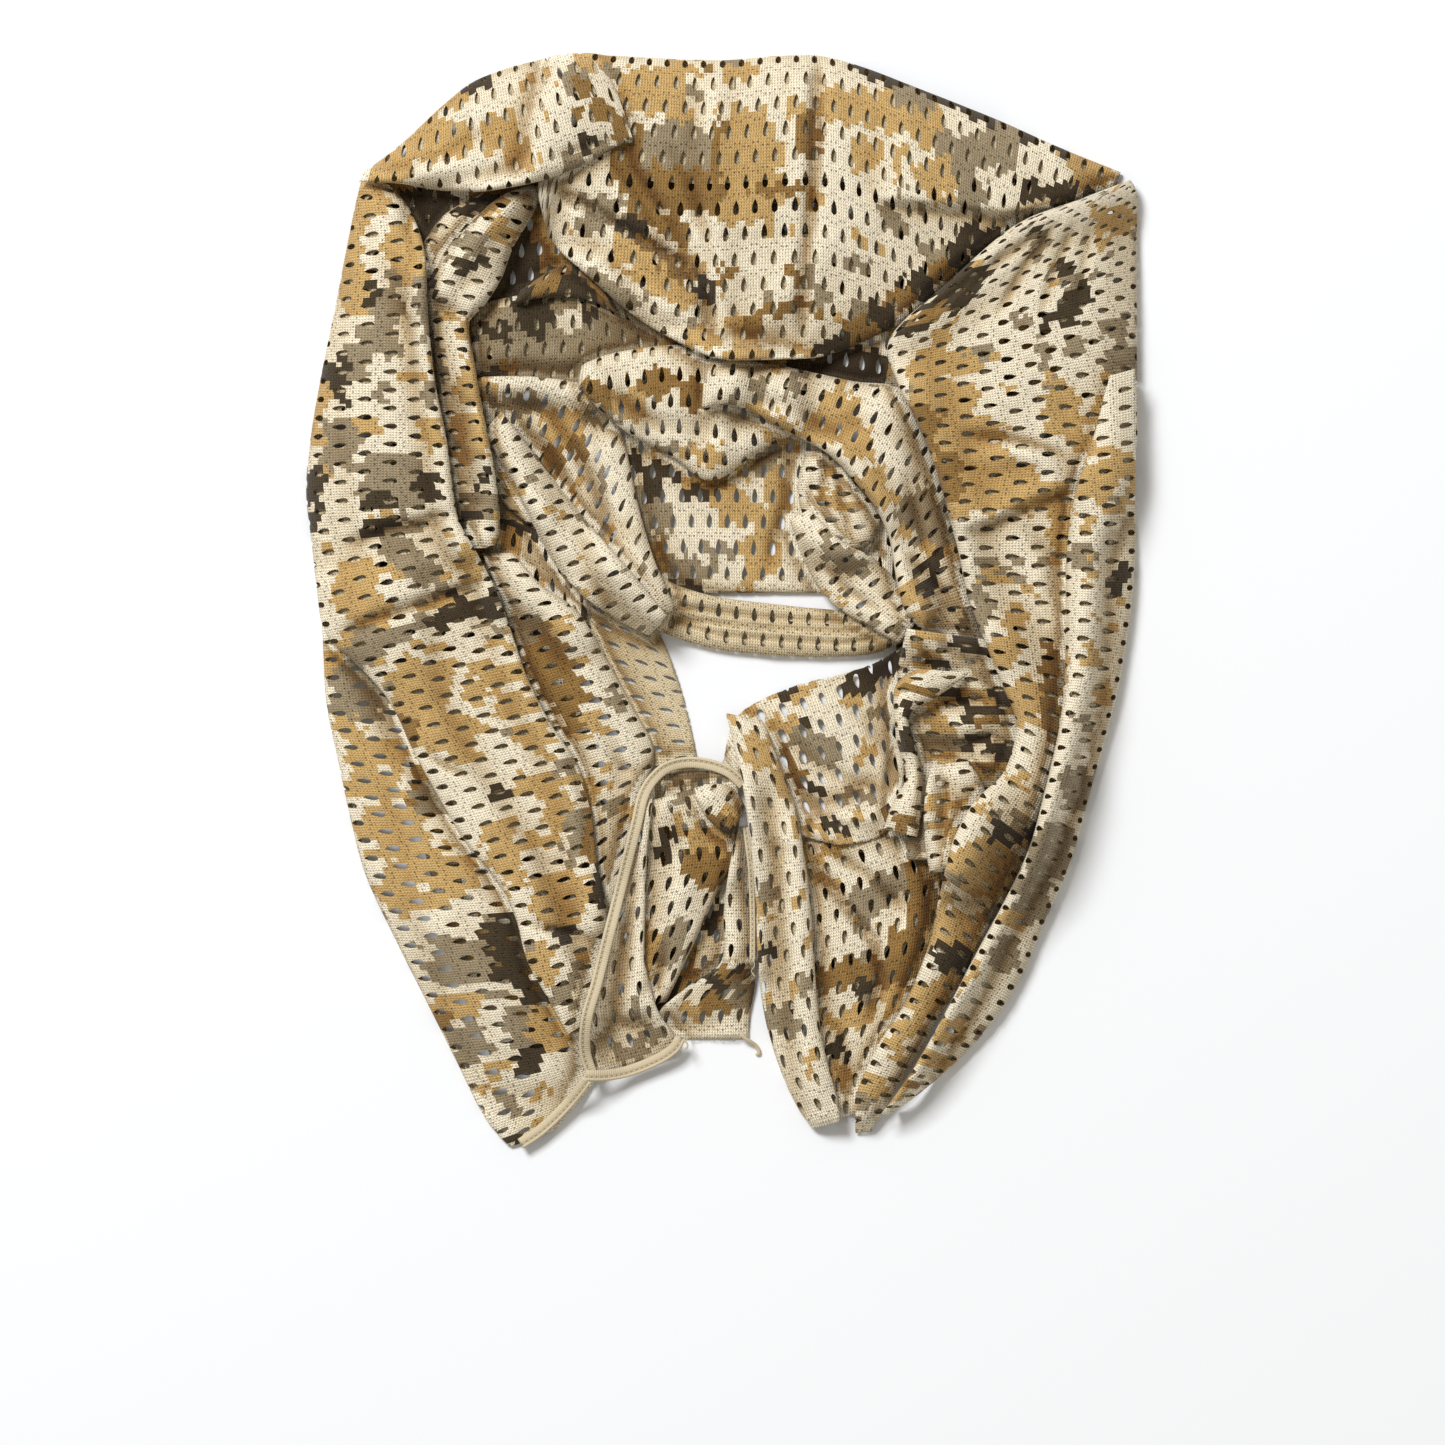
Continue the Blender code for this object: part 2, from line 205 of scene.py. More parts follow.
# ---------------------------------------------------------------- the lattice of holes
RING = [(1.42, -1.0), (1.28, 0.7), (0.82, 2.4), (0.0, 4.2), (-0.82, 2.4), (-1.28, 0.7),
        (-1.42, -1.0), (-1.25, -2.3), (-0.72, -3.1), (0.0, -3.4), (0.72, -3.1), (1.25, -2.3)]
POINTED, BLUNT = 3, 9     # the two points of the ring that lie on the hole's column


def lattice(p0, p1, q0, q1, tip, solid):
    """A flat piece of the mesh cloth from p0 to p1 along the rows and q0 to q1 across them.

    Gives its points, its faces, the lattice square that each face lies in, and which points are
    on the rim of a hole. A hole's tip looks to +q where tip is 1. solid(p, q) says where the
    cloth has no holes.
    """
    i0, i1 = math.floor(p0 / COL), math.ceil(p1 / COL)
    j0, j1 = math.floor(q0 / ROW), math.ceil(q1 / ROW)
    index = {}
    points = []
    rims = []

    def point(i, j):
        """The number of a lattice point, which is made when it is first asked for."""
        if (i, j) not in index:
            index[i, j] = len(points)
            points.append((i * COL, j * ROW))
        return index[i, j]

    holes = []
    taken = set()
    for j in range(j0, j1 + 1):
        if (j - 4) % 8:
            continue
        shift = 2 if ((j - 4) // 8) % 2 else 0
        for i in range(i0, i1 + 1):
            if (i - 2 - shift) % 4 == 0 and i0 < i < i1 and j0 + 1 < j < j1 - 1:
                if not solid(i * COL, j * ROW):
                    holes.append((i, j))
                    taken.update((i + di, j + dj) for di in (-1, 0) for dj in (-2, -1, 0, 1))
    faces = []
    squares = []
    for j in range(j0, j1):
        for i in range(i0, i1):
            if (i, j) not in taken:
                faces.append((point(i, j), point(i + 1, j), point(i + 1, j + 1), point(i, j + 1)))
                squares.append((i, j))
    for i, j in holes:
        ring = []
        for k, (dp, dq) in enumerate(RING):
            if k in (POINTED, BLUNT):
                ring.append(point(i, j + (2 * tip if k == POINTED else -2 * tip)))
                points[ring[-1]] = (i * COL, j * ROW + dq * tip)
            else:
                ring.append(len(points))
                points.append((i * COL + dp, j * ROW + dq * tip))
        rims.extend(ring)
        for side, first in ((1, 0), (-1, 6)):
            for way in (1, -1):
                outer = [point(i + side, j + way * tip * step) for step in (0, 1, 2)]
                a, b, c, d = (ring[(first + side * way * step) % 12] for step in range(4))
                square = i if side > 0 else i - 1
                rows = (j, j + 1) if way * tip > 0 else (j - 1, j - 2)
                for face, row in (((a, outer[0], outer[1], b), rows[0]),
                                  ((b, outer[1], outer[2], c), rows[1]),
                                  ((c, outer[2], d), rows[1])):
                    faces.append(face if side * way * tip > 0 else face[::-1])
                    squares.append((square, row))
    rim = np.zeros(len(points), bool)
    rim[rims] = True
    return np.array(points), faces, np.array(squares), rim


def block_of(cell):
    """The block of two by two camouflage squares that each square lies in."""
    wide = cell[:, 0] // 2
    return wide, (cell[:, 1] + wide % 2) // 2


def print_and_shade_of(cell, x, y, seed, mix, paint):
    """The printed colour of each camouflage square, or a colour of painted shade, as an index in PALETTE.

    mix scatters small patches of a colour over a share of the cloth. Each entry of paint is a
    ragged oval patch: its centre, its two half widths, its colour and, if it lies askew, its turn
    in degrees. A later patch lies over an earlier one.
    """
    wide, tall = block_of(cell)
    a, b = 2.0 * wide, 2.0 * tall
    speck = np.random.RandomState(seed + 7).rand(TABLE, TABLE)
    out = np.zeros(len(cell), int)
    for layer, (colour, share) in enumerate(mix):
        grain = speck[(tall * 3 + layer * 11) % TABLE, (wide * 5 + layer * 17) % TABLE]
        fine = speck[(cell[:, 1] + layer * 7) % TABLE, (cell[:, 0] + layer * 29) % TABLE]
        # Large patches, small patches, blocks and single squares, each with its weight.
        field = (0.64 * noise(a / 7.0 + 9.3 * layer, b / 5.0 + 5.1 * layer, seed + layer)
                 + 0.18 * noise(a / 3.0, b / 2.4, seed + 31 + layer) + 0.10 * grain + 0.03 * fine)
        out[field > np.quantile(field, 1 - share)] = colour
    for layer, (px, py, rx, ry, hue, *turn) in enumerate(paint):
        angle = math.radians(turn[0]) if turn else 0.0
        dx, dy = x - px, y - py
        u = (dx * math.cos(angle) + dy * math.sin(angle)) / rx
        v = (dy * math.cos(angle) - dx * math.sin(angle)) / ry
        grain = speck[(tall * 7 + layer * 5) % TABLE, (wide * 3 + layer * 13) % TABLE]
        fine = speck[(cell[:, 1] * 5 + layer * 3) % TABLE, (cell[:, 0] * 7 + layer) % TABLE]
        ragged = 0.8 * noise(a / 3.6 + layer * 3.3, b / 2.8, seed + 61) + 0.4 * grain + 0.1 * fine
        size = (np.abs(u) ** 3 + np.abs(v) ** 3) ** (1 / 3)
        reach = 7.0 / math.sqrt(rx * ry)
        out[size < 1.0 + reach * (ragged - 0.62)] = hue
    return out


# ---------------------------------------------------------------- materials
def new_skin(name):
    """A new material, its node tree and its shader."""
    skin = bpy.data.materials.new(name)
    skin.use_nodes = True
    return skin, skin.node_tree, skin.node_tree.nodes["Principled BSDF"]


def maths(tree):
    """A function that adds Math nodes to a tree."""
    def do(kind, *values):
        """The output of a new Math node that is fed by sockets or numbers."""
        node = tree.nodes.new("ShaderNodeMath")
        node.operation = kind
        for slot, value in enumerate(values):
            if isinstance(value, (int, float)):
                node.inputs[slot].default_value = value
            else:
                tree.links.new(value, node.inputs[slot])
        return node.outputs[0]
    return do


def noise_node(tree, scale, detail=2.0, where=None):
    """The output of a Noise node that is read at where, a socket."""
    node = tree.nodes.new("ShaderNodeTexNoise")
    node.inputs["Scale"].default_value = scale
    node.inputs["Detail"].default_value = detail
    if where:
        tree.links.new(where, node.inputs["Vector"])
    return node.outputs[0]


def cloth_skin(name):
    """A new cloth material, its tree, its shader, its print with painted shade and the places on its flat
    cut.
    """
    skin, tree, shader = new_skin(name)
    colour = tree.nodes.new("ShaderNodeAttribute")
    colour.attribute_name = "print_and_shade"
    cut = tree.nodes.new("ShaderNodeUVMap")
    cut.uv_map = "cut"
    parts = tree.nodes.new("ShaderNodeSeparateXYZ")
    tree.links.new(cut.outputs["UV"], parts.inputs[0])
    return skin, tree, shader, colour.outputs["Color"], cut.outputs["UV"], parts.outputs


def finish_skin(tree, shader, colour, light, height, strength, distance, roughness):
    """Links a colour scaled by light, and a bump of height, to the shader; distance in metres."""
    tint = tree.nodes.new("ShaderNodeVectorMath")
    tint.operation = "SCALE"
    tree.links.new(colour, tint.inputs[0])
    tree.links.new(light, tint.inputs["Scale"])
    tree.links.new(tint.outputs[0], shader.inputs["Base Color"])
    bump = tree.nodes.new("ShaderNodeBump")
    bump.inputs["Strength"].default_value = strength
    bump.inputs["Distance"].default_value = distance
    tree.links.new(height, bump.inputs["Height"])
    tree.links.new(bump.outputs[0], shader.inputs["Normal"])
    shader.inputs["Roughness"].default_value = roughness
    shader.inputs["Specular IOR Level"].default_value = 0.12


def mesh_cloth():
    """Knitted mesh: printed on its face, plain on its back, ribbed along the holes."""
    skin, tree, shader, colour, cut, parts = cloth_skin("mesh_cloth")
    do = maths(tree)
    u = do("MULTIPLY", parts["X"], 1000.0)
    v = do("MULTIPLY", parts["Y"], 1000.0)

    # Each rib sways a little, and is a chain of V-shaped stitches.
    drift = do("MULTIPLY", do("SUBTRACT", noise_node(tree, 260.0, 1.0, cut), 0.5), 0.9)
    rib_at = do("DIVIDE", do("ADD", u, drift), RIB)
    rib = do("MULTIPLY", do("COSINE", do("MULTIPLY", rib_at, TURN)), -1.0)
    leg = do("ABSOLUTE", do("SUBTRACT", do("FRACT", rib_at), 0.5))
    stitch_at = do("ADD", do("DIVIDE", v, STITCH), do("MULTIPLY", leg, 1.3))
    stitch = do("COSINE", do("MULTIPLY", stitch_at, TURN))

    # Pinholes lie midway between two rows of holes, two and two, away from each hole's column.
    down = do("SUBTRACT", do("DIVIDE", v, 8 * ROW), 0.5)
    band = do("COSINE", do("MULTIPLY", do("FLOOR", down), math.pi))
    pair = do("COSINE", do("MULTIPLY", u, math.pi / (2 * COL)))
    jump = do("SIGN", do("MULTIPLY", band, pair))
    a = do("MULTIPLY", do("SUBTRACT", do("FRACT", do("DIVIDE", u, COL)), 0.5), COL)
    b = do("MULTIPLY", do("SUBTRACT", do("FRACT", down), 0.48), 8 * ROW)
    b = do("ADD", b, do("MULTIPLY", jump, PINHOLE_SHIFT))
    gap = do("SQRT", do("ADD", do("MULTIPLY", a, a), do("MULTIPLY", b, b)))
    pins = do("SUBTRACT", 1.25, do("DIVIDE", gap, PINHOLE))
    pins = do("MAXIMUM", do("MINIMUM", pins, 1.0), 0.0)

    # From 0 in the knit's valleys to 1 on its yarns.
    fuzz = do("MULTIPLY", do("SUBTRACT", noise_node(tree, 900.0, 3.0, cut), 0.5), 1.1)
    relief = do("ADD", do("MULTIPLY", rib, 0.22), do("MULTIPLY", stitch, 0.25))
    relief = do("ADD", do("ADD", relief, fuzz), 0.5)
    relief = do("MAXIMUM", do("MINIMUM", relief, 1.0), 0.0)
    height = do("SUBTRACT", relief, do("MULTIPLY", pins, 1.4))

    # The colour takes painted shade in the knit's valleys and in the pinholes, and it varies a little at
    # random.
    light = do("ADD", 0.44, do("MULTIPLY", relief, 0.99))
    light = do("MULTIPLY", light, do("SUBTRACT", 1.0, do("MULTIPLY", pins, 0.78)))
    blot = noise_node(tree, 130.0, 2.0, cut)
    light = do("MULTIPLY", light, do("ADD", 0.90, do("MULTIPLY", blot, 0.2)))

    back = tree.nodes.new("ShaderNodeRGB")
    back.outputs[0].default_value = (*PALETTE[PLAIN] * 0.9, 1.0)
    facing = tree.nodes.new("ShaderNodeNewGeometry")
    face = tree.nodes.new("ShaderNodeMix")
    face.data_type = "RGBA"
    tree.links.new(facing.outputs["Backfacing"], face.inputs["Factor"])
    tree.links.new(colour, face.inputs["A"])
    tree.links.new(back.outputs[0], face.inputs["B"])
    finish_skin(tree, shader, face.outputs["Result"], light, height, 0.6, 0.0008, 0.92)
    shader.inputs["Sheen Weight"].default_value = 0.12
    shader.inputs["Sheen Roughness"].default_value = 0.6
    return skin


def hem_cloth():
    """Doubled, stitched cloth with no holes, ribbed across the hem."""
    skin, tree, shader, colour, cut, parts = cloth_skin("hem_cloth")
    do = maths(tree)
    run = do("MULTIPLY", parts["X"], 1000.0)
    rib = do("COSINE", do("MULTIPLY", run, TURN / HEM_RIB))
    fuzz = noise_node(tree, 700.0, 3.0, cut)
    height = do("ADD", do("MULTIPLY", rib, 0.4), fuzz)
    # The colour takes painted shade in the ribs' grooves and from the fuzz.
    light = do("ADD", 0.88, do("MULTIPLY", rib, 0.05))
    light = do("ADD", light, do("MULTIPLY", fuzz, 0.14))
    finish_skin(tree, shader, colour, light, height, 0.5, 0.0004, 0.9)
    return skin


def yarn_skin(name, colour):
    """Twisted yarn, with darker flecks."""
    skin, tree, shader = new_skin(name)
    ramp = tree.nodes.new("ShaderNodeValToRGB")
    ramp.color_ramp.elements[0].color = (*[c * 0.75 for c in colour], 1)
    ramp.color_ramp.elements[1].color = (*colour, 1)
    tree.links.new(noise_node(tree, 1400.0), ramp.inputs[0])
    tree.links.new(ramp.outputs[0], shader.inputs["Base Color"])
    shader.inputs["Roughness"].default_value = 0.85
    return skin


MESH_CLOTH = mesh_cloth()
HEM_CLOTH = hem_cloth()


def corners_of(mesh):
    """The point at each corner of each face."""
    corners = np.zeros(len(mesh.loops), int)
    mesh.loops.foreach_get("vertex_index", corners)
    return corners


def lay_cut(mesh, places):
    """Gives a mesh its flat cut as a UV map: a place, in metres, for each face corner."""
    cut = mesh.uv_layers.new(name="cut")
    cut.data.foreach_set("uv", places.ravel().astype(np.float32))


def add_object(name, mesh, skin):
    """Puts a mesh with a material in the scene."""
    mesh.materials.append(skin)
    made = bpy.data.objects.new(name, mesh)
    bpy.context.scene.collection.objects.link(made)
    return made


def add_piece(name, mesh, skin):
    """Puts a smooth piece of the veil in the scene, with its material, under the root body."""
    mesh.polygons.foreach_set("use_smooth", np.ones(len(mesh.polygons), bool))
    mesh.update()
    piece = add_object(name, mesh, skin)
    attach(piece, "root")
    return piece


class Strip:
    """The bent strip of cloth of a fold: where each point of the flat cloth lies.

    Its cross-section is a tuck, a rounded edge, a boxy top, a rounded edge and a tuck.
    """

    def __init__(self, stations, high, edge, square, crown, tuck, anchor, ends, gather, nest):
        stations = np.array(stations, float)
        last = len(stations) - 1
        fine = np.linspace(0, last, 40 * len(stations))
        centre = (1 - anchor) * stations[:, :2] + anchor * stations[:, 2:]
        run = run_of(rail(centre, fine))
        self.length = run[-1]
        self.count = max(4, int(self.length / LENGTH_STEP))
        self.step = self.length / self.count
        u = np.arange(self.count + 1) * self.step
        at = np.interp(u, run, fine)
        left = rail(stations[:, :2], at)
        right = rail(stations[:, 2:], at)
        across = right - left
        size = np.linalg.norm(across, axis=1)[:, None]
        w = np.maximum(size, 1.0)

        def each(value):
            """A value at each cross-section, from one number or a list along the fold."""
            value = np.atleast_1d(np.asarray(value, float))
            if len(value) == 1:
                return np.full((len(at), 1), value[0])
            return rail(value, at * (len(value) - 1) / last)

        close = np.ones((len(at), 1))
        for reach, gap in ((ends[0], u), (ends[1], self.length - u)):
            t = np.clip(gap / reach, 0, 1)[:, None]
            close = close * np.sqrt(np.clip(1 - (1 - t) ** 2, 0.0, 1))
        boxy = each(square)
        peak = each(crown)
        r = np.minimum(each(edge), WIDEST_EDGE * w) * (END_EDGE + (1 - END_EDGE) * close)
        top = np.maximum(each(high) * (END_HIGH + (1 - END_HIGH) * close), 2 * r + 0.4)
        nested = np.maximum(top - nest, 0.0)

        def under(off):
            """How high the tucked cloth lies: nest millimetres under the top."""
            t = np.where(off < w * peak, 1 - off / (w * peak), (off - w * peak) / (w * (1 - peak)))
            t = np.clip(np.abs(t), 0, 1)
            return nested * np.maximum(1 - t ** boxy, 0.0) ** (1 / boxy) * close

        back = np.linspace(1, 0, TUCK_POINTS, endpoint=False)[None, :]
        turn = np.linspace(0, math.pi / 2, EDGE_POINTS, endpoint=False)[None, :]
        arch = np.linspace(0, math.pi, TOP_POINTS)[None, :]
        tucks = [np.minimum(each(reach), WIDEST_TUCK * w) for reach in tuck]
        first_tuck = r + tucks[0] * back
        last_tuck = w - (r + tucks[1] * back[:, ::-1])
        edge_off = r - r * np.sin(turn)
        edge_high = r - r * np.cos(turn)
        power = 2.0 / boxy
        flat = np.abs(np.cos(arch)) ** power
        part = np.where(np.cos(arch) > 0, peak * (1 - flat), peak + (1 - peak) * flat)
        top_high = r + (top - r) * np.abs(np.sin(arch)) ** power
        off = np.hstack([first_tuck, edge_off, w * part, w - edge_off[:, ::-1], last_tuck])
        high = np.hstack([under(first_tuck), edge_high, top_high, edge_high[:, ::-1],
                          under(last_tuck)])

        arc = np.hypot(np.diff(off, axis=1), np.diff(high, axis=1))
        arc = np.hstack([np.zeros((len(at), 1)), np.cumsum(arc, axis=1)])
        first = TUCK_POINTS + EDGE_POINTS
        stop = first + TOP_POINTS
        if anchor >= 1:
            zero = arc[:, stop - 1]
        else:
            zero = np.array([np.interp(anchor * w[i, 0], off[i, first:stop], arc[i, first:stop])
                             for i in range(len(at))])
        v = (arc - zero[:, None]) * each(gather)
        self.low, self.high = v[:, 0].min(), v[:, -1].max()
        places = np.arange(self.low, self.high + WIDTH_STEP, WIDTH_STEP)
        unit = across / size
        self.table = np.zeros((len(at), len(places), 5))
        for i, row in enumerate(self.table):
            row[:, :2] = left[i] + unit[i] * np.interp(places, v[i], off[i])[:, None]
            row[:, 2] = np.interp(places, v[i], high[i])
            row[:, 3] = (places >= v[i, 0] - 0.1) & (places <= v[i, -1] + 0.1)
            row[:, 4] = (places < v[i, TUCK_POINTS - 1]) | (places > v[i, stop + EDGE_POINTS - 1])

    def place(self, u, v):
        """Plan place of flat points, height over the pile, if they are on the cloth, and tucked."""
        fu = np.clip(u / self.step, 0, self.count - 1e-6)
        fv = np.clip((v - self.low) / WIDTH_STEP, 0, self.table.shape[1] - 1.001)
        i = fu.astype(int)
        j = fv.astype(int)
        a = (fu - i)[:, None]
        b = (fv - j)[:, None]
        t = self.table
        got = ((t[i, j] * (1 - a) + t[i + 1, j] * a) * (1 - b)
               + (t[i, j + 1] * (1 - a) + t[i + 1, j + 1] * a) * b)
        x, y, z, inside, tucked = got.T
        ok = ((u >= -1e-6) & (u <= self.length + 1e-6) & (v >= self.low) & (v <= self.high)
              & (inside > 0.5))
        return x, y, z, ok, tucked


tones = []


def fold(name, stations, high=8.0, edge=2.0, square=2.6, crown=0.5, tuck=(10, 10), anchor=0.5,
         holes="across", tip=1, ends=(6, 6), gather=1.0, creases=(), steps=(), rough=1.0,
         mix=SPARSE, paint=(), seed=1, shift=(0.0, 0.0), solid=lambda p, q: False, stiff=2.0,
         span=3, nest=3.2, settle=0.0):
    """A fold of cloth through stations of left and right rim points, laid on the pile.

    high is its height over the pile, edge the radius of its fold edges, square how boxy its top
    is, crown where its highest line runs, from 0 at the left edge to 1 at the right, and tuck how
    far the cloth goes back under the left and right edges. ends are the lengths over which it
    closes at its first and last station. anchor is where the flat cloth has its zero, as crown.
    gather is the cloth's width over the fold's, for pleated places. holes says whether the holes
    point across the fold or along it. A crease is a line with a height, below 0 for a valley, and
    a width. A step is a line with a height, a width and a reach on its left. stiff and span are
    how far the cloth smooths and bridges the pile, nest is how far under its top the tucked cloth
    lies, and settle the length over which its last end comes down to what is right under it.
    """
    strip = Strip(stations, high, edge, square, crown, tuck, anchor, ends, gather, nest)
    across = holes == "across"
    spread = [(0, strip.length), (strip.low, strip.high)]
    (p0, p1), (q0, q1) = spread if across else spread[::-1]
    flat, faces, squares, rim = lattice(p0 + shift[0], p1 + shift[0], q0 + shift[1], q1 + shift[1],
                                        tip, solid)
    p = flat[:, 0] - shift[0]
    q = flat[:, 1] - shift[1]
    u, v = (p, q) if across else (q, p)
    along = u + SWAY * (noise(u / 34, v / 26, seed + 50) - 0.5)
    along = np.where(np.minimum(u, strip.length - u) < 3, u, along)
    x, y, z, ok, tucked = strip.place(along, v + SWAY * (noise(u / 30, v / 30, seed + 60) - 0.5))

    bed = soften(widen(pile, span), stiff)
    low = widen(pile, 1)
    over = np.clip(z / (2 * np.max(edge)), 0, 1)
    wrinkle = sum(depth * (noise(x / size, y / size, seed + own) - 0.5)
                  for depth, size, own in WRINKLES)
    rise = rough * wrinkle * over
    for path, depth, width in creases:
        gap, fade = from_line(x, y, path)
        rise = rise + depth * fade * np.exp(-(gap / width) ** 2) * over
    for path, amount, width, reach in steps:
        gap, fade = from_line(x, y, path)
        hill = 0.5 * (1 + np.tanh(gap / width)) * np.exp(-np.maximum(gap, 0) / reach)
        rise = rise + amount * fade * hill * over
    z = np.where(over > 0.4, np.maximum(z + rise, LEAST_RISE), z + rise)
    ground_high = read(bed, x, y)
    if settle:
        held = np.clip((strip.length - along) / settle, 0, 1)
        ground_high = ground_high * held + read(low, x, y) * (1 - held)
    z = np.maximum(z + ground_high + REST_GAP, read(low, x, y) + LEAST_GAP)
    z = np.where(rim, z - RIM_DIP, z)

    # Only the faces with all their points on the cloth stay.
    keep = [f for f, face in enumerate(faces) if all(ok[c] for c in face)]
    squares = squares[keep]
    used = sorted({c for f in keep for c in faces[f]})
    number = {c: s for s, c in enumerate(used)}
    faces = [tuple(number[c] for c in faces[f]) for f in keep]
    flat = flat[used]
    tucked = tucked[used]
    spots = np.column_stack([x, y, z])[used]
    heap(spots)

    # Each camouflage square is one column by two rows of the lattice.
    square_of = np.column_stack([squares[:, 0], squares[:, 1] // 2])
    kinds, which = np.unique(square_of, axis=0, return_inverse=True)
    wide, tall = block_of(kinds)
    alone = np.random.RandomState(seed + 5).rand(len(kinds)) < STRAY_SQUARES
    p = np.where(alone, kinds[:, 0] + 0.5, 2 * wide + 1) * COL - shift[0]
    q = np.where(alone, kinds[:, 1] + 0.5, 2 * tall - wide % 2 + 1) * 2 * ROW - shift[1]
    u, v = (p, q) if across else (q, p)
    x, y = strip.place(np.clip(u, 0, strip.length), np.clip(v, strip.low, strip.high))[:2]
    if mix == "reverse":
        hue = np.full(len(kinds), PLAIN)
    else:
        hue = print_and_shade_of(kinds, x, y, seed, mix, paint)
    shade = np.random.RandomState(seed + 99).rand(len(kinds), 1)
    tone = PALETTE[hue] * (0.95 + 0.10 * shade)

    mesh = bpy.data.meshes.new(name)
    mesh.from_pydata((spots * MM).tolist(), [], faces)
    if not across:
        mesh.flip_normals()
    layer = mesh.color_attributes.new("print_and_shade", "FLOAT_COLOR", "CORNER")
    colours = np.repeat(tone[which.ravel()], [len(face) for face in faces], axis=0)
    colours = np.column_stack([colours, np.ones(len(colours))])
    corners = corners_of(mesh)
    tones.append((mesh, colours, spots[corners], tucked[corners]))
    lay_cut(mesh, flat[corners] * MM)
    piece = add_piece("cloth_" + name, mesh, MESH_CLOTH)
    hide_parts(name)

    return piece


# ---------------------------------------------------------------- hems and yarns
# The outline of a hem's cross-section: how far in and how high each point is, and its painted shade, dark
# in the groove and with a painted highlight over 1 on the rolled lip.
LIP = [(0.0, 0.3, 0.8), (0.0, 0.9, 0.95), (0.35, 1.4, 1.0), (0.9, 1.65, 1.02), (1.45, 1.4, 0.95),
       (1.8, 0.95, 0.6), (2.0, 0.85, 0.45), (2.25, 1.0, 0.7), (2.8, 1.25, 0.95), (3.8, 1.3, 1.0),
       (5.0, 1.2, 1.0), (5.6, 0.9, 0.9), (5.7, 0.4, 0.6), (4.0, 0.2, 0.5), (1.6, 0.15, 0.5)]
PIN_LIP = [(0.0, 0.2, 0.8), (0.1, 0.7, 1.0), (0.7, 1.0, 1.05), (1.3, 0.7, 0.6), (1.5, 0.5, 0.4),
           (1.7, 0.7, 0.6), (2.3, 1.0, 1.05), (2.9, 0.7, 0.9), (3.0, 0.2, 0.7)]
HEM_STEP = 1.2            # step between a hem's cross-sections
HEM_GAP = 0.3             # a hem lies this far over the cloth
HEM_SMOOTH = 7            # its height is averaged over this many cross-sections on each side
seam_lines = []


def hem(name, path, side, profile=LIP):
    """A hem along path: a rolled lip, a groove and a plain band, side +1 to the path's left."""
    ends = len(path) - 1
    line = rail(path, np.linspace(0, ends, 24 * len(path)))
    run = run_of(line)
    k = max(6, int(run[-1] / HEM_STEP))
    line = rail(path, np.interp(np.linspace(0, run[-1], k + 1), run, np.linspace(0, ends, len(run))))
    way = np.gradient(line, axis=0)
    way /= np.linalg.norm(way, axis=1)[:, None]
    inward = side * np.column_stack([-way[:, 1], way[:, 0]])
    bed = widen(pile, 1)
    base = np.zeros(k + 1)
    for s, _, _ in profile:
        base = np.maximum(base, read(bed, *(line + inward * s).T))
    base = np.convolve(np.pad(base, HEM_SMOOTH, mode="edge"),
                       np.ones(2 * HEM_SMOOTH + 1) / (2 * HEM_SMOOTH + 1), "valid")
    m = len(profile)
    points = np.zeros((k + 1, m, 3))
    for c, (s, h, _) in enumerate(profile):
        points[:, c, :2] = line + inward * s
        points[:, c, 2] = base + h + HEM_GAP
    heap(points)
    faces = [(i * m + c, (i + 1) * m + c, (i + 1) * m + (c + 1) % m, i * m + (c + 1) % m)
             for i in range(k) for c in range(m)]
    faces += [tuple(range(m)), tuple(k * m + c for c in reversed(range(m)))]
    if side > 0:
        faces = [face[::-1] for face in faces]
    mesh = bpy.data.meshes.new(name)
    mesh.from_pydata((points.reshape(-1, 3) * MM).tolist(), [], faces)
    colours = np.ones((k + 1, m, 4))
    tone = PALETTE[CREAM] * 0.25 + PALETTE[PLAIN] * 0.63
    # Painted shade and highlight across the hem's cross-section.
    colours[..., :3] = tone * np.array([shade for _, _, shade in profile])[None, :, None]
    layer = mesh.color_attributes.new("print_and_shade", "FLOAT_COLOR", "POINT")
    layer.data.foreach_set("color", colours.ravel().astype(np.float32))
    flat = np.zeros((k + 1, m, 2))
    flat[..., 0] = np.linspace(0, run[-1], k + 1)[:, None] * MM
    flat[..., 1] = np.arange(m)[None, :] * 0.6 * MM
    lay_cut(mesh, flat.reshape(-1, 2)[corners_of(mesh)])
    piece = add_piece("cloth_" + name, mesh, HEM_CLOTH)
    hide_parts(name)
    groove = min(range(2, m - 3), key=lambda c: profile[c][2])
    seam_lines.append(points[:, groove] + np.array([0, 0, 0.25]))
    return piece


def tube(points, radius, sides=6):
    """The points and faces of a thin yarn along points."""
    way = np.gradient(points, axis=0)
    way /= np.linalg.norm(way, axis=1)[:, None] + 1e-9
    side = np.cross(way, np.tile([0.0, 0.0, 1.0], (len(points), 1)))
    side /= np.linalg.norm(side, axis=1)[:, None] + 1e-9
    up = np.cross(side, way)
    angle = np.arange(sides) * TURN / sides
    thin = np.ones(len(points))
    thin[0] = thin[-1] = 0.35
    ring = (points[:, None, :] + radius * thin[:, None, None]
            * (np.cos(angle)[None, :, None] * side[:, None, :]
               + np.sin(angle)[None, :, None] * up[:, None, :]))
    n = len(points)
    faces = [(i * sides + c, i * sides + (c + 1) % sides, (i + 1) * sides + (c + 1) % sides,
              (i + 1) * sides + c) for i in range(n - 1) for c in range(sides)]
    faces += [tuple(reversed(range(sides))), tuple((n - 1) * sides + c for c in range(sides))]
    return ring.reshape(-1, 3), faces


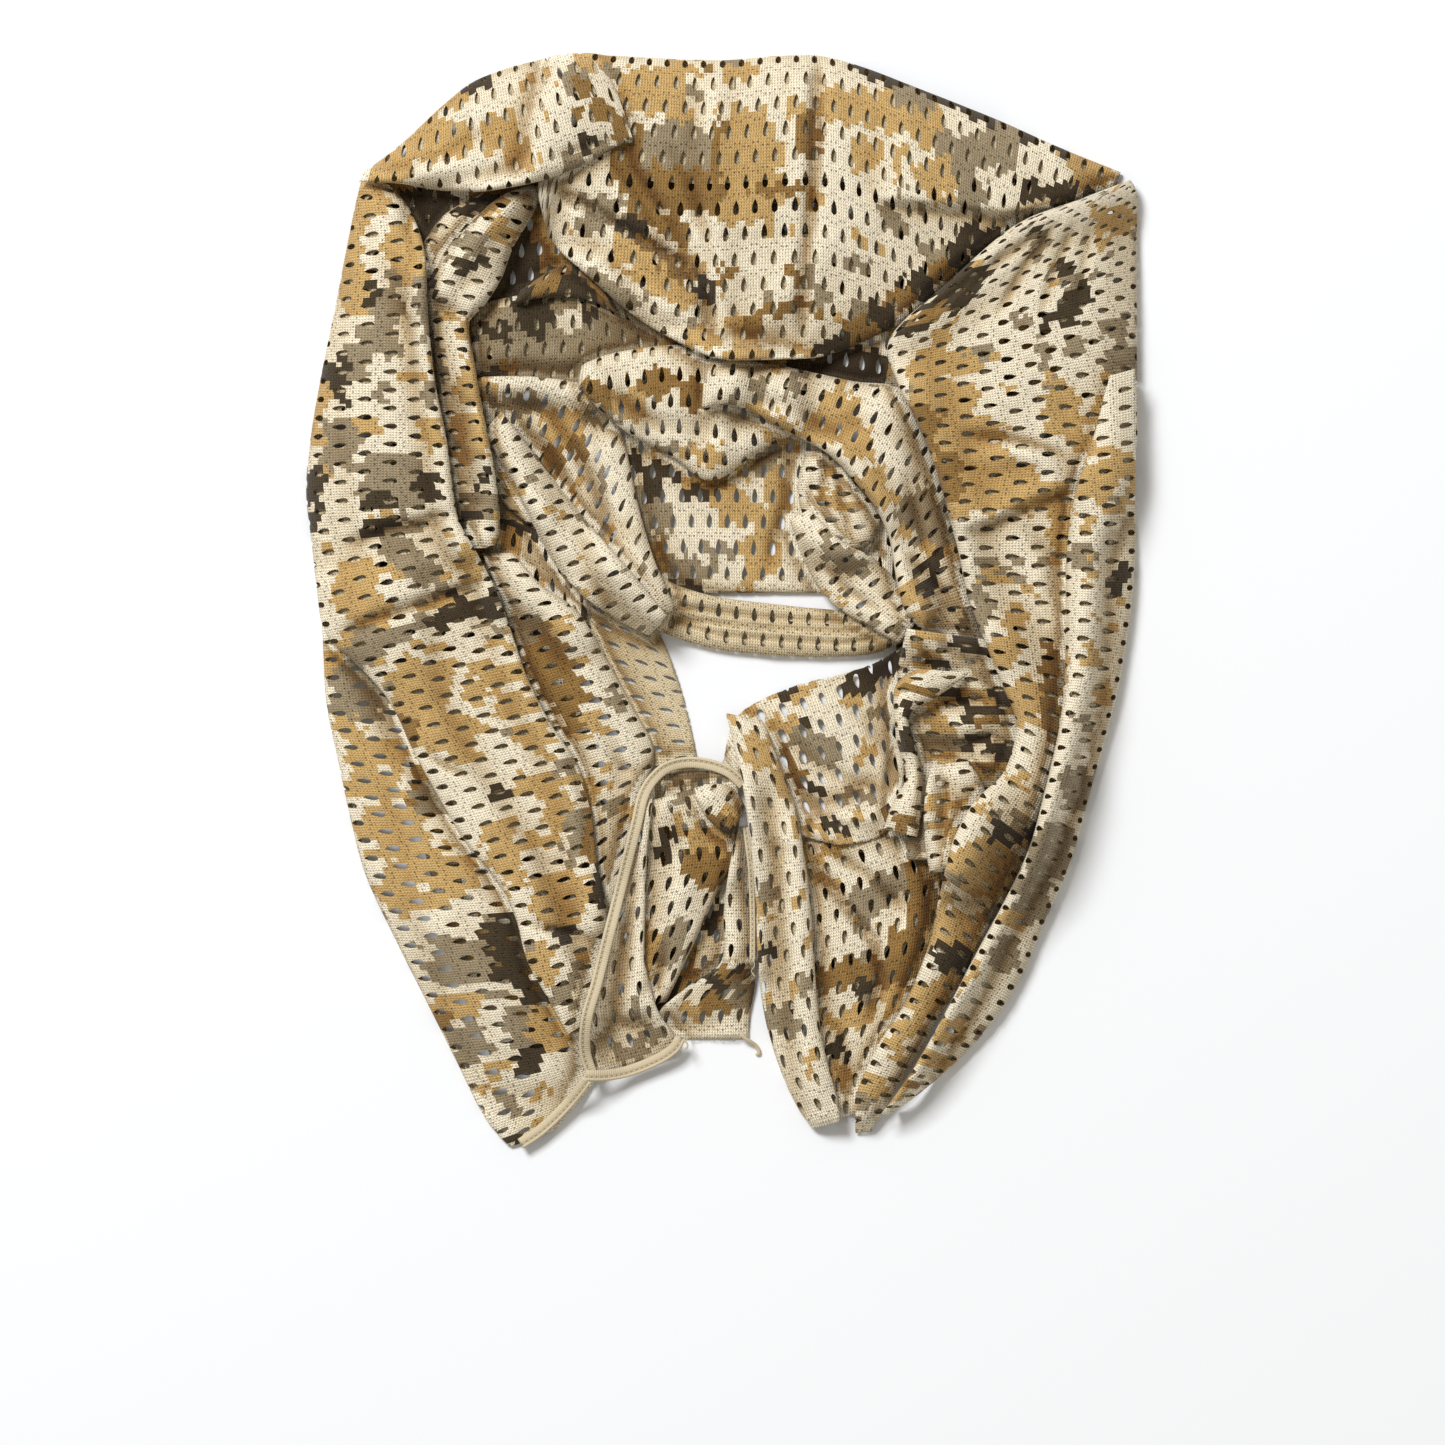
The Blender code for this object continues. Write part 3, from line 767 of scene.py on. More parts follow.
def yarn_piece(name, runs, colour):
    """One piece made of many short yarns; runs are (points, radius)."""
    points = np.zeros((0, 3))
    faces = []
    for line, radius in runs:
        more, shape = tube(line, radius)
        faces += [tuple(len(points) + c for c in face) for face in shape]
        points = np.vstack([points, more])
    mesh = bpy.data.meshes.new(name)
    mesh.from_pydata((points * MM).tolist(), [], faces)
    return add_piece(name, mesh, yarn_skin(name, colour))


# ---------------------------------------------------------------- the pile, bottom to top
# Hidden layers under the folds, in the painted-shade mix, seen through the holes and between the folds.
fold("under_layer_left", [
    (-176, 214, -118, 214), (-180, 190, -118, 190), (-180, 150, -112, 150), (-180, 90, -108, 90),
    (-172, 30, -96, 30), (-168, -20, -78, -20), (-160, -60, -66, -60), (-152, -110, -60, -100),
    (-140, -160, -60, -150), (-126, -205, -66, -200), (-112, -236, -86, -238)],
    seed=11, tip=-1, **HIDDEN)
fold("under_layer_top", [
    (-172, 200, -172, 212), (-150, 150, -150, 226), (-130, 112, -128, 240), (-90, 106, -92, 260),
    (-40, 100, -40, 264), (0, 104, 0, 264), (40, 100, 40, 264), (76, 96, 84, 254), (104, 96, 114, 240),
    (140, 110, 150, 226), (172, 130, 184, 208)],
    seed=12, **HIDDEN,
    paint=[
        # Painted shade in the recesses round the top of the loop.
        (-96, 178, 38, 34, TAN_IN_SHADE), (-108, 166, 16, 24, DARK), (-84, 156, 24, 10, DARK),
        (-150, 190, 24, 16, DARK), (60, 115, 30, 12, DARK), (110, 165, 26, 24, DARK)])
fold("under_layer_right", [
    (118, 172, 186, 184), (90, 140, 190, 140), (80, 100, 190, 96), (70, 60, 188, 40), (84, 0, 186, -10),
    (88, -40, 178, -60), (84, -80, 166, -96), (80, -110, 150, -124), (80, -130, 136, -140)],
    seed=13, **HIDDEN,
    paint=[
        # Painted shade in the gaps beside the crumpled cloth and the ruffle.
        (90, -60, 12, 40, DARK), (82, 30, 12, 16, TAN_IN_SHADE)])
fold("under_layer_tail", [
    (44, -112, 150, -112), (44, -160, 132, -150), (40, -200, 112, -200), (50, -236, 88, -236),
    (58, -252, 78, -252)],
    seed=14, **HIDDEN)
fold("reverse_side_strip", [
    (-92, 30, -40, 6), (-80, 0, -27, -25), (-62, -35, -20, -45), (-46, -60, -15, -65),
    (-40, -86, -12, -84), (-44, -108, -16, -102)],
    high=3.0, edge=0.8, square=4, tuck=(1, 1), mix="reverse", seed=21, tip=-1)
fold("back_panel", [
    (-48, 8, -56, 82), (-22, 4, -26, 88), (10, 4, 10, 88), (46, 4, 46, 84), (86, 2, 90, 70)],
    high=5.0, edge=0.9, square=4, tuck=(8, 1), seed=22,
    creases=[
        ([(34, 80), (32, 50), (26, 30), (22, 10)], -3.5, 3.0),
        ([(-52, 60), (-44, 40), (-34, 14)], -3.0, 4.0), ([(10, 86), (4, 60), (-4, 40)], 2.5, 9.0)],
    paint=[
        (-36, 46, 15, 14, TAUPE), (-45, 69, 7, 4, DARK), (-33, 66, 5, 5, DARK), (-30, 58, 8, 6, DARK),
        (-14, 54, 9, 4, DARK), (-46, 61, 4, 3, CREAM), (-27, 56, 4, 3, CREAM), (12, 48, 18, 15, TAN),
        (-6, 64, 12, 6, TAN_IN_SHADE), (22, 70, 8, 8, TAUPE), (28, 60, 5, 8, TAN), (17, 56, 7, 5, CREAM),
        (-15, 42, 9, 8, CREAM), (0, 33, 16, 4, CREAM), (-2, 25, 8, 4, TAUPE), (18, 20, 12, 11, TAN),
        (6, 16, 8, 6, CREAM), (-34, 20, 6, 8, TAN_IN_SHADE), (-20, 16, 9, 8, TAUPE), (-20, 7, 9, 3, DARK)])
fold("back_lower_roll", [
    (-52, 8, -50, 30), (-36, -12, -30, 12), (-8, -23, -6, 3), (22, -27, 22, -1), (52, -28, 52, -4),
    (78, -26, 80, -6), (97, -17, 98, -7)],
    high=9.0, edge=2.4, square=2.0, tuck=(10, 6), mix="reverse", seed=23, ends=(10, 6), rough=1.4,
    creases=[
        ([(-40, 14), (-20, -3), (20, -8), (60, -10), (92, -10)], -2.5, 1.3),
        ([(-36, 4), (-20, -9), (20, -13), (60, -15), (92, -13)], -2.5, 1.3),
        ([(-30, -8), (0, -17), (30, -19), (60, -21), (92, -16)], -2.5, 1.3)])
# This layer lies in the recess under the lobe: its taupe-heavy mix and patches are partly taupe print and
# partly painted shade.
fold("back_upper_panel", [
    (-124, 112, -126, 148), (-98, 110, -97, 154), (-70, 106, -68, 160), (-36, 96, -44, 150),
    (0, 96, 0, 132)],
    high=7.0, edge=1.6, square=2.4, tuck=(30, 30), seed=24, mix=[(TAUPE, 0.82), (DARK, 0.12)],
    creases=[
        ([(-120, 142), (-80, 146), (-40, 140)], 3.0, 8.0),
        ([(-120, 118), (-80, 116), (-50, 112)], -2.5, 4.0)],
    paint=[
        (-114, 132, 14, 18, TAUPE), (-48, 130, 24, 12, TAUPE), (-86, 116, 22, 5, TAUPE),
        (-112, 136, 8, 6, DARK), (-20, 120, 18, 12, TAN_IN_SHADE), (-15, 112, 14, 8, TAN_IN_SHADE),
        (-12, 122, 9, 6, DARK), (-52, 112, 10, 4, TAN_IN_SHADE), (-107, 118, 6, 3, TAN_IN_SHADE)])
fold("back_left_fold", [
    (-120, 88, -122, 112), (-100, 80, -92, 112), (-88, 60, -64, 106), (-74, 40, -50, 84),
    (-58, 22, -42, 50), (-44, 8, -34, 22), (-30, -8, -22, -6)],
    high=10.0, edge=2.2, square=2.2, tuck=(10, 8), seed=25,
    creases=[
        ([(-110, 104), (-85, 94), (-68, 66), (-54, 36)], -4.0, 3.5),
        ([(-100, 88), (-84, 74), (-72, 50)], -3.0, 2.5)],
    paint=[
        (-104, 98, 12, 6, TAUPE), (-62, 94, 10, 5, TAUPE), (-80, 87, 10, 8, TAN), (-72, 78, 6, 6, TAN_IN_SHADE),
        (-86, 70, 6, 10, TAN_IN_SHADE, -40)])
# The small neck fold lies in a recess; its tan-in-shade and dark mix is painted shade.
fold("neck_small_fold", [
    (-104, 148, -100, 156), (-86, 152, -80, 168), (-66, 150, -68, 166), (-50, 142, -56, 152)],
    high=7.0, edge=2.0, square=2.0, tuck=(4, 4), seed=26, mix=[(TAN_IN_SHADE, 1.0), (DARK, 0.45)])
fold("hanging_fold", [
    (-72, 106, -70, 118), (-50, 86, -54, 124), (-25, 72, -25, 128), (-5, 60, -5, 126), (18, 74, 16, 120),
    (38, 84, 34, 114)],
    high=11.0, edge=1.8, square=2.8, crown=0.35, tuck=(3, 4), anchor=1.0, seed=27, ends=(6, 10), nest=2,
    creases=[
        ([(-4, 60), (0, 90), (6, 118)], 3.5, 6.0), ([(-60, 110), (-45, 96), (-25, 84)], -4.0, 4.0),
        ([(34, 108), (18, 98), (8, 104)], -3.0, 4.0)],
    paint=[
        (-60, 104, 12, 6, TAN_IN_SHADE), (-47, 98, 9, 6, TAN), (-50, 107, 6, 3, CREAM), (-28, 109, 13, 6, TAN_IN_SHADE),
        (-12, 104, 10, 6, TAN_IN_SHADE), (-4, 72, 7, 7, TAN), (-16, 75, 5, 3, TAN), (-18, 80, 3, 2, TAUPE),
        (-30, 75, 4, 2, TAUPE), (-58, 93, 6, 4, TAUPE)])
fold("right_tail_panel", [
    (36, -122, 92, -96), (38, -150, 110, -128), (40, -170, 110, -154), (42, -190, 104, -178),
    (44, -212, 92, -203), (46, -235, 80, -227), (54, -261, 70, -257)],
    high=[10, 10, 10, 10, 9, 7, 3], edge=2.2, square=2.6, tuck=(50, 50), seed=43, holes="along",
    creases=[
        ([(44, -130), (60, -150), (76, -170), (80, -190), (72, -215)], -6.0, 3.0),
        ([(50, -122), (72, -136), (96, -158)], -3.5, 3.0),
        ([(46, -150), (58, -175), (62, -205)], 2.5, 6.0),
        ([(98, -120), (98, -150), (86, -190)], 3.5, 7.0),
        ([(54, -205), (62, -225), (64, -250)], -3.0, 2.5)],
    paint=[
        (56, -123, 22, 3, TAN, 28), (50, -138, 6, 4, TAN), (80, -146, 16, 8, TAUPE, 25),
        (72, -130, 14, 6, CREAM, 20), (100, -146, 9, 17, TAN_IN_SHADE), (90, -180, 9, 16, TAN_IN_SHADE, -20),
        (58, -187, 20, 6, TAN_IN_SHADE, 15), (72, -194, 6, 5, DARK, 15), (62, -208, 16, 5, TAN, 15),
        (45, -211, 5, 4, DARK), (56, -225, 5, 4, DARK), (58, -168, 13, 8, CREAM), (57, -236, 5, 6, TAN),
        (86, -200, 6, 6, TAN)])
fold("lower_front_panel", [
    (28, -112, 0, -80), (44, -119, 8, -57), (64, -122, 35, -43), (84, -114, 58, -37), (92, -88, 78, -30),
    (102, -34, 97, -18)],
    high=[4, 5, 6, 6, 6, 5], edge=0.6, square=1.7, tuck=(5, 2), seed=28, tip=-1, mix=[(TAN, 0.03)],
    crown=0.62,
    creases=[
        ([(26, -66), (32, -88), (50, -106), (66, -118)], -4.5, 3.0),
        ([(30, -62), (50, -84), (90, -100)], -2.5, 4.0), ([(44, -100), (62, -108), (84, -110)], 2.5, 3.0),
        ([(60, -45), (75, -65), (86, -84)], -2.0, 4.0), ([(86, -70), (84, -90), (84, -112)], -3.5, 3.0)],
    paint=[
        (24, -43, 9, 4, TAN), (38, -46, 6, 4, TAN), (31, -48, 4, 3, DARK), (10, -54, 6, 4, TAN),
        (30, -61, 11, 4, TAN), (43, -65, 5, 3, DARK), (48, -74, 15, 7, TAUPE, -30),
        (71, -76, 4, 12, TAN, -42), (82, -29, 17, 8, DARK, 30), (68, -42, 9, 5, DARK, 35),
        (64, -50, 8, 3, TAN), (78, -57, 7, 5, TAUPE), (46, -95, 6, 3, DARK, -25),
        (59, -113, 6, 3, DARK, -15), (37, -86, 4, 12, TAN_IN_SHADE, 25), (84, -108, 5, 6, TAN_IN_SHADE),
        (70, -99, 10, 3, TAUPE), (55, -120, 10, 2, TAN)])
fold("cross_fold_low", [
    (-120, 14, -116, 42), (-104, 6, -100, 40), (-84, -4, -84, 32), (-68, -22, -66, 6)],
    high=6.0, edge=1.6, tuck=(4, 4), seed=29, mix=[(TAUPE, 0.3), (TAN, 0.2), (DARK, 0.12)])
fold("inner_left_band", [
    (-120, 24, -104, 24), (-112, 5, -90, 8), (-106, -15, -72, -5), (-99, -40, -58, -28),
    (-88, -62, -45, -52), (-76, -85, -34, -74), (-70, -110, -38, -95), (-66, -140, -44, -120),
    (-64, -165, -50, -150)],
    high=[7, 9, 11, 12, 12, 11, 10, 9, 7], edge=2.4, square=2.0, crown=0.62, tuck=(10, 12), seed=30,
    tip=-1,
    creases=[
        ([(-58, -74), (-48, -84), (-36, -88)], -2.5, 2.5),
        ([(-104, -4), (-88, -22), (-70, -44)], -2.5, 5.0)],
    paint=[
        (-86, -34, 11, 22, TAN_IN_SHADE, 28), (-98, -14, 6, 6, TAUPE), (-54, -76, 3, 7, TAN),
        (-47, -105, 3, 4, TAN), (-76, -58, 6, 6, TAN_IN_SHADE), (-80, -12, 5, 4, TAN)])
fold("cross_fold_small", [
    (-118, 76, -108, 79), (-116, 62, -100, 62), (-108, 48, -94, 48), (-96, 38, -88, 38)],
    high=7.0, edge=2.0, square=2.0, tuck=(4, 4), seed=31, tip=-1)
fold("cross_fold", [
    (-119, 84, -110, 95), (-110, 68, -94, 74), (-98, 46, -78, 53), (-88, 26, -64, 36), (-75, 8, -50, 20),
    (-58, -6, -38, 6), (-36, -18, -26, -9)],
    high=[9, 13, 15, 15, 13, 9, 4], edge=2.8, square=2.0, crown=0.45, tuck=(10, 10), seed=32, tip=-1,
    ends=(8, 4), mix=[(TAN, 0.03), (TAUPE, 0.04)])
fold("left_inner_under", [
    (-120, 204, -106, 202), (-140, 192, -122, 186), (-152, 172, -136, 168), (-150, 156, -140, 154)],
    high=8.0, edge=2.4, square=2.0, tuck=(4, 4), seed=33, mix=[(TAUPE, 0.35), (DARK, 0.25)])
fold("left_inner_roll", [
    (-97, 208, -88, 208), (-112, 201, -94, 194), (-128, 186, -104, 177), (-141, 170, -110, 161),
    (-147, 155, -118, 148), (-146, 138, -126, 138), (-144, 120, -123, 118), (-141, 95, -119, 95),
    (-137, 70, -114, 70), (-134, 48, -111, 48), (-131, 34, -111, 34), (-125, 25, -114, 25)],
    high=[9, 13, 16, 18, 17, 16, 16, 16, 16, 16, 14, 8], edge=3.2, square=2.0, tuck=(20, 20), seed=34,
    tip=-1, ends=(4, 9),
    creases=[
        ([(-146, 148), (-128, 143)], -4.5, 3.0), ([(-118, 200), (-108, 176)], -2.0, 3.0),
        ([(-136, 62), (-112, 56)], -1.5, 2.0), ([(-135, 52), (-112, 47)], -1.8, 2.0),
        ([(-134, 42), (-112, 37)], -1.5, 2.0)],
    paint=[
        (-120, 196, 12, 4, TAN_IN_SHADE, 30), (-111, 185, 5, 5, TAN), (-128, 179, 9, 5, TAUPE),
        (-126, 167, 7, 4, DARK), (-147, 158, 4, 6, DARK), (-142, 118, 4, 16, TAUPE),
        (-126, 106, 7, 12, TAN), (-126, 82, 10, 14, TAN), (-138, 78, 5, 9, TAUPE), (-120, 60, 5, 5, DARK),
        (-123, 46, 11, 7, TAUPE), (-124, 38, 9, 4, DARK), (-118, 32, 5, 4, CREAM)])
fold("left_lower_strip", [
    (-202, 8, -160, 16), (-200, -15, -155, -12), (-198, -50, -150, -50), (-192, -80, -136, -80),
    (-186, -108, -118, -108), (-178, -138, -100, -135), (-163, -170, -88, -165), (-148, -200, -76, -195),
    (-133, -230, -64, -220), (-119, -258, -62, -238), (-106, -274, -84, -266)],
    high=[5, 7, 8, 9, 10, 12, 13, 12, 9, 6, 3], edge=2.4, square=2.4, crown=0.55, tuck=(2, 10), seed=35,
    tip=-1, solid=lambda p, q: p > 258 and q > 3,
    creases=[
        ([(-190, -20), (-176, -50), (-160, -80), (-140, -110)], -3.0, 6.0),
        ([(-150, -150), (-120, -190), (-100, -230)], 2.5, 9.0)],
    paint=[
        (-195, -33, 5, 9, TAN), (-182, -46, 14, 16, TAUPE), (-187, -63, 6, 5, TAN),
        (-173, -77, 13, 7, TAN), (-176, -92, 14, 9, TAN), (-163, -116, 18, 14, TAN),
        (-146, -140, 24, 14, TAN, 20), (-147, -142, 5, 4, CREAM), (-174, -121, 4, 3, CREAM),
        (-150, -92, 8, 12, TAN_IN_SHADE), (-142, -97, 12, 10, TAUPE), (-124, -180, 24, 12, TAUPE),
        (-106, -174, 12, 16, DARK, 30), (-90, -196, 9, 9, DARK, 30), (-134, -203, 13, 7, TAN),
        (-141, -210, 6, 5, TAN_IN_SHADE), (-124, -222, 9, 9, TAUPE), (-100, -214, 8, 13, TAUPE),
        (-95, -228, 5, 8, DARK), (-115, -216, 6, 5, CREAM), (-86, -214, 10, 10, TAN),
        (-105, -255, 5, 8, TAUPE), (-105, -270, 4, 4, DARK)])
fold("left_outer_fold", [
    (-180, 212, -166, 208), (-184, 195, -156, 196), (-189, 170, -148, 174), (-195, 140, -146, 140),
    (-201, 110, -143, 110), (-206, 80, -137, 80), (-208, 55, -134, 56), (-206, 35, -131, 40),
    (-203, 10, -122, 24), (-198, -16, -112, 4), (-178, -36, -104, -18), (-165, -52, -97, -38),
    (-154, -75, -86, -60), (-142, -97, -72, -82), (-128, -120, -65, -105), (-112, -140, -62, -130),
    (-103, -158, -58, -150), (-97, -180, -56, -170), (-86, -200, -57, -190), (-76, -218, -61, -208)],
    high=[7, 13, 18, 21, 22, 22, 22, 21, 19, 17, 15, 14, 14, 14, 14, 14, 13, 12, 10, 6], edge=3.4,
    square=2.2, crown=[0.5, 0.5, 0.52, 0.6, 0.66, 0.66], tuck=(30, 40), seed=36, tip=-1,
    creases=[
        ([(-131, 44), (-150, 39), (-168, 36), (-190, 26)], -6.0, 3.0),
        ([(-112, 12), (-140, 2), (-165, -6), (-192, -16)], -6.0, 3.0),
        ([(-160, 206), (-156, 185), (-152, 165)], -3.0, 3.0), ([(-90, -63), (-75, -66)], -3.0, 3.0),
        ([(-150, -76), (-135, -84), (-122, -89)], -4.0, 2.5),
        ([(-78, -70), (-68, -100), (-66, -140)], -3.5, 4.0),
        ([(-100, -161), (-80, -165), (-60, -171)], -4.5, 2.5),
        ([(-168, 20), (-150, 18), (-136, 28)], 3.0, 6.0)],
    steps=[
        ([(-188, 25), (-168, 35), (-150, 38), (-131, 43)], 3.5, 2.0, 30.0),
        ([(-192, -17), (-165, -7), (-140, 1), (-112, 11)], 3.0, 2.0, 25.0)],
    paint=[
        (-178, 201, 11, 11, TAN), (-185, 178, 6, 19, TAN), (-174, 180, 5, 12, CREAM),
        (-158, 175, 10, 13, TAN), (-162, 198, 6, 5, CREAM), (-156, 203, 4, 7, TAN_IN_SHADE),
        (-163, 159, 5, 4, TAUPE), (-173, 151, 5, 7, DARK), (-172, 131, 13, 8, TAUPE),
        (-167, 142, 7, 9, TAUPE), (-148, 147, 4, 14, TAUPE), (-188, 155, 3, 8, TAN),
        (-181, 120, 5, 9, TAUPE), (-194, 109, 6, 11, DARK), (-201, 92, 6, 14, TAN),
        (-190, 80, 9, 14, TAUPE), (-177, 86, 5, 6, TAN), (-144, 87, 5, 8, TAN), (-166, 60, 17, 14, TAUPE),
        (-160, 80, 6, 4, CREAM), (-147, 56, 4, 8, DARK), (-172, 50, 10, 5, DARK), (-203, 52, 4, 18, DARK),
        (-189, 55, 8, 10, CREAM), (-197, 90, 3, 5, CREAM), (-168, 37, 9, 4, DARK),
        (-163, 26, 10, 8, TAUPE), (-182, 4, 11, 15, TAN), (-163, 14, 5, 4, TAN), (-148, 15, 9, 12, TAUPE),
        (-155, 5, 8, 5, CREAM), (-138, 22, 8, 5, CREAM), (-127, 17, 5, 9, TAN), (-121, 0, 12, 9, DARK),
        (-126, 5, 6, 3, CREAM), (-138, -8, 12, 5, DARK, 25), (-145, -2, 6, 3, TAN),
        (-178, -22, 9, 8, TAUPE), (-160, -16, 5, 5, TAUPE), (-145, -23, 8, 4, TAN),
        (-150, -46, 16, 16, TAN), (-142, -66, 16, 9, TAN), (-158, -66, 6, 10, TAN_IN_SHADE),
        (-119, -34, 5, 4, TAN), (-121, -47, 6, 5, TAN), (-102, -36, 8, 6, TAN), (-101, -52, 10, 6, TAN),
        (-97, -67, 9, 7, TAN), (-114, -60, 4, 3, TAN), (-128, -77, 6, 3, TAN), (-88, -76, 6, 5, TAN),
        (-110, -97, 5, 4, DARK), (-92, -93, 11, 6, TAN), (-80, -106, 9, 9, TAN), (-78, -84, 5, 5, TAUPE),
        (-112, -114, 8, 5, TAN), (-110, -128, 10, 8, TAN), (-103, -140, 5, 5, TAN),
        (-80, -148, 15, 14, TAN), (-64, -98, 5, 34, TAN_IN_SHADE), (-73, -122, 4, 12, TAUPE),
        (-60, -140, 4, 13, DARK), (-75, -165, 5, 4, DARK), (-66, -163, 5, 5, CREAM),
        (-88, -120, 8, 4, TAN), (-77, -195, 5, 5, TAUPE), (-70, -178, 5, 4, TAN)])
fold("ruffle_fold", [
    (42, 75, 57, 76), (38, 58, 66, 60), (41, 42, 79, 44), (50, 30, 78, 34), (62, 24, 73, 26)],
    high=12.0, edge=2.4, square=2.2, tuck=(5, 5), seed=37, mix=[(TAUPE, 0.06), (TAN, 0.08)],
    creases=[
        ([(52, 73), (50, 50), (58, 28)], -4.5, 2.0), ([(58, 72), (60, 50), (66, 28)], -4.0, 2.0),
        ([(46, 68), (44, 52), (50, 36)], -3.5, 2.0)])
fold("ruffle_band", [
    (34, 40, 44, 46), (42, 18, 60, 30), (54, 0, 78, 20), (72, -12, 92, 4), (90, -22, 100, -10)],
    high=[6, 10, 11, 10, 7], edge=2.2, square=2.1, tuck=(5, 5), seed=38, mix=[(TAUPE, 0.12), (TAN, 0.04)],
    creases=[
        ([(46, 26), (60, 8), (86, -10)], -3.0, 2.0)])
fold("right_inner_roll", [
    (-10, 96, -8, 120), (8, 97, 12, 120), (30, 86, 38, 116), (52, 74, 66, 110), (66, 60, 90, 106),
    (77, 46, 101, 86), (84, 30, 110, 62), (87, 12, 117, 35), (91, -4, 123, 10), (99, -14, 130, -14),
    (106, -22, 138, -30)],
    high=[9, 13, 16, 18, 19, 18, 17, 16, 14, 12, 8], edge=3.0, square=2.2, crown=0.45, tuck=(12, 8),
    seed=39,
    creases=[
        ([(10, 102), (34, 96), (56, 84), (72, 66)], -3.0, 4.0),
        ([(90, 66), (98, 40), (106, 16)], -3.0, 3.0), ([(92, 24), (108, 8), (122, -12)], -3.5, 3.0)],
    paint=[
        (18, 107, 6, 4, TAUPE), (8, 112, 4, 3, TAUPE), (56, 98, 10, 7, TAN), (52, 86, 9, 7, TAN),
        (68, 80, 9, 10, TAN), (74, 58, 8, 8, TAN), (25, 90, 14, 4, TAN, -28), (84, 82, 9, 16, CREAM),
        (80, 52, 7, 7, TAN), (90, 62, 7, 8, CREAM), (98, 44, 8, 10, TAUPE), (107, 36, 8, 12, TAUPE),
        (92, 34, 5, 5, TAN), (103, 18, 9, 5, DARK), (96, 20, 6, 5, CREAM), (105, 2, 4, 7, DARK),
        (102, -6, 5, 6, TAN), (114, -2, 8, 8, CREAM), (124, -12, 5, 10, TAUPE), (124, -23, 12, 5, DARK),
        (92, 2, 4, 8, TAN)])
# Darker mix for the crumpled cloth: its print, with tan, taupe and dark raised as painted shade.
CRUMPLE = [(TAN, 0.3), (TAUPE, 0.16), (DARK, 0.05)]
fold("crumple_back", [
    (92, -14, 138, -20), (88, -36, 148, -38), (90, -60, 156, -60), (96, -84, 158, -86),
    (92, -108, 146, -110), (92, -130, 120, -132)],
    high=[8, 11, 12, 12, 10, 8], edge=2.0, square=2.2, tuck=(30, 30), seed=40, mix=CRUMPLE, rough=1.6,
    creases=[
        ([(99, -14), (112, -24), (126, -30), (140, -32)], -5.0, 2.4),
        ([(99, -14), (104, -30), (100, -42)], -3.5, 2.4),
        ([(100, -16), (116, -34), (134, -48), (146, -50)], 4.0, 3.5),
        ([(92, -42), (106, -44), (122, -50), (140, -48)], -5.0, 2.4),
        ([(104, -56), (120, -62), (138, -56), (150, -60)], 4.0, 4.0),
        ([(100, -70), (118, -72), (134, -68), (152, -76)], -5.0, 2.4),
        ([(112, -80), (128, -80), (150, -88)], 3.0, 3.0)],
    paint=[
        (112, -33, 10, 2, DARK, -10), (110, -40, 14, 2, TAUPE), (124, -23, 12, 3, DARK, -20),
        (108, -46, 9, 2, DARK, -12), (140, -50, 7, 5, DARK, 30), (132, -60, 9, 3, TAN_IN_SHADE, 20),
        (112, -72, 12, 4, TAUPE), (128, -70, 7, 2, DARK, 20), (142, -76, 8, 3, DARK, -20),
        (124, -87, 6, 2, DARK), (104, -24, 6, 3, CREAM), (118, -54, 9, 4, CREAM), (96, -105, 4, 8, TAN_IN_SHADE),
        (133, -84, 7, 4, TAN_IN_SHADE)])
fold("crumple_left_fold", [
    (97, -34, 124, -36), (87, -42, 108, -48), (86, -56, 94, -57), (88, -72, 97, -73), (92, -88, 100, -87),
    (85, -102, 100, -104), (80, -116, 98, -120)],
    high=[5, 10, 11, 11, 10, 10, 6], edge=2.4, square=2.0, tuck=(8, 8), seed=41, tip=-1,
    mix=[(TAN, 0.12)], ends=(8, 6),
    paint=[
        (92, -56, 4, 4, DARK), (94, -68, 5, 7, DARK), (100, -46, 9, 3, TAN_IN_SHADE, -20),
        (92, -110, 6, 5, TAN_IN_SHADE)])
fold("crumple_lower_fold", [
    (104, -82, 124, -80), (101, -100, 132, -97), (101, -118, 126, -115), (104, -138, 116, -136)],
    high=12.0, edge=2.4, square=2.2, tuck=(12, 12), seed=42,
    creases=[
        ([(112, -84), (110, -104), (108, -130)], -3.0, 2.5)],
    paint=[
        (110, -108, 4, 6, TAN), (116, -118, 4, 5, TAN)])
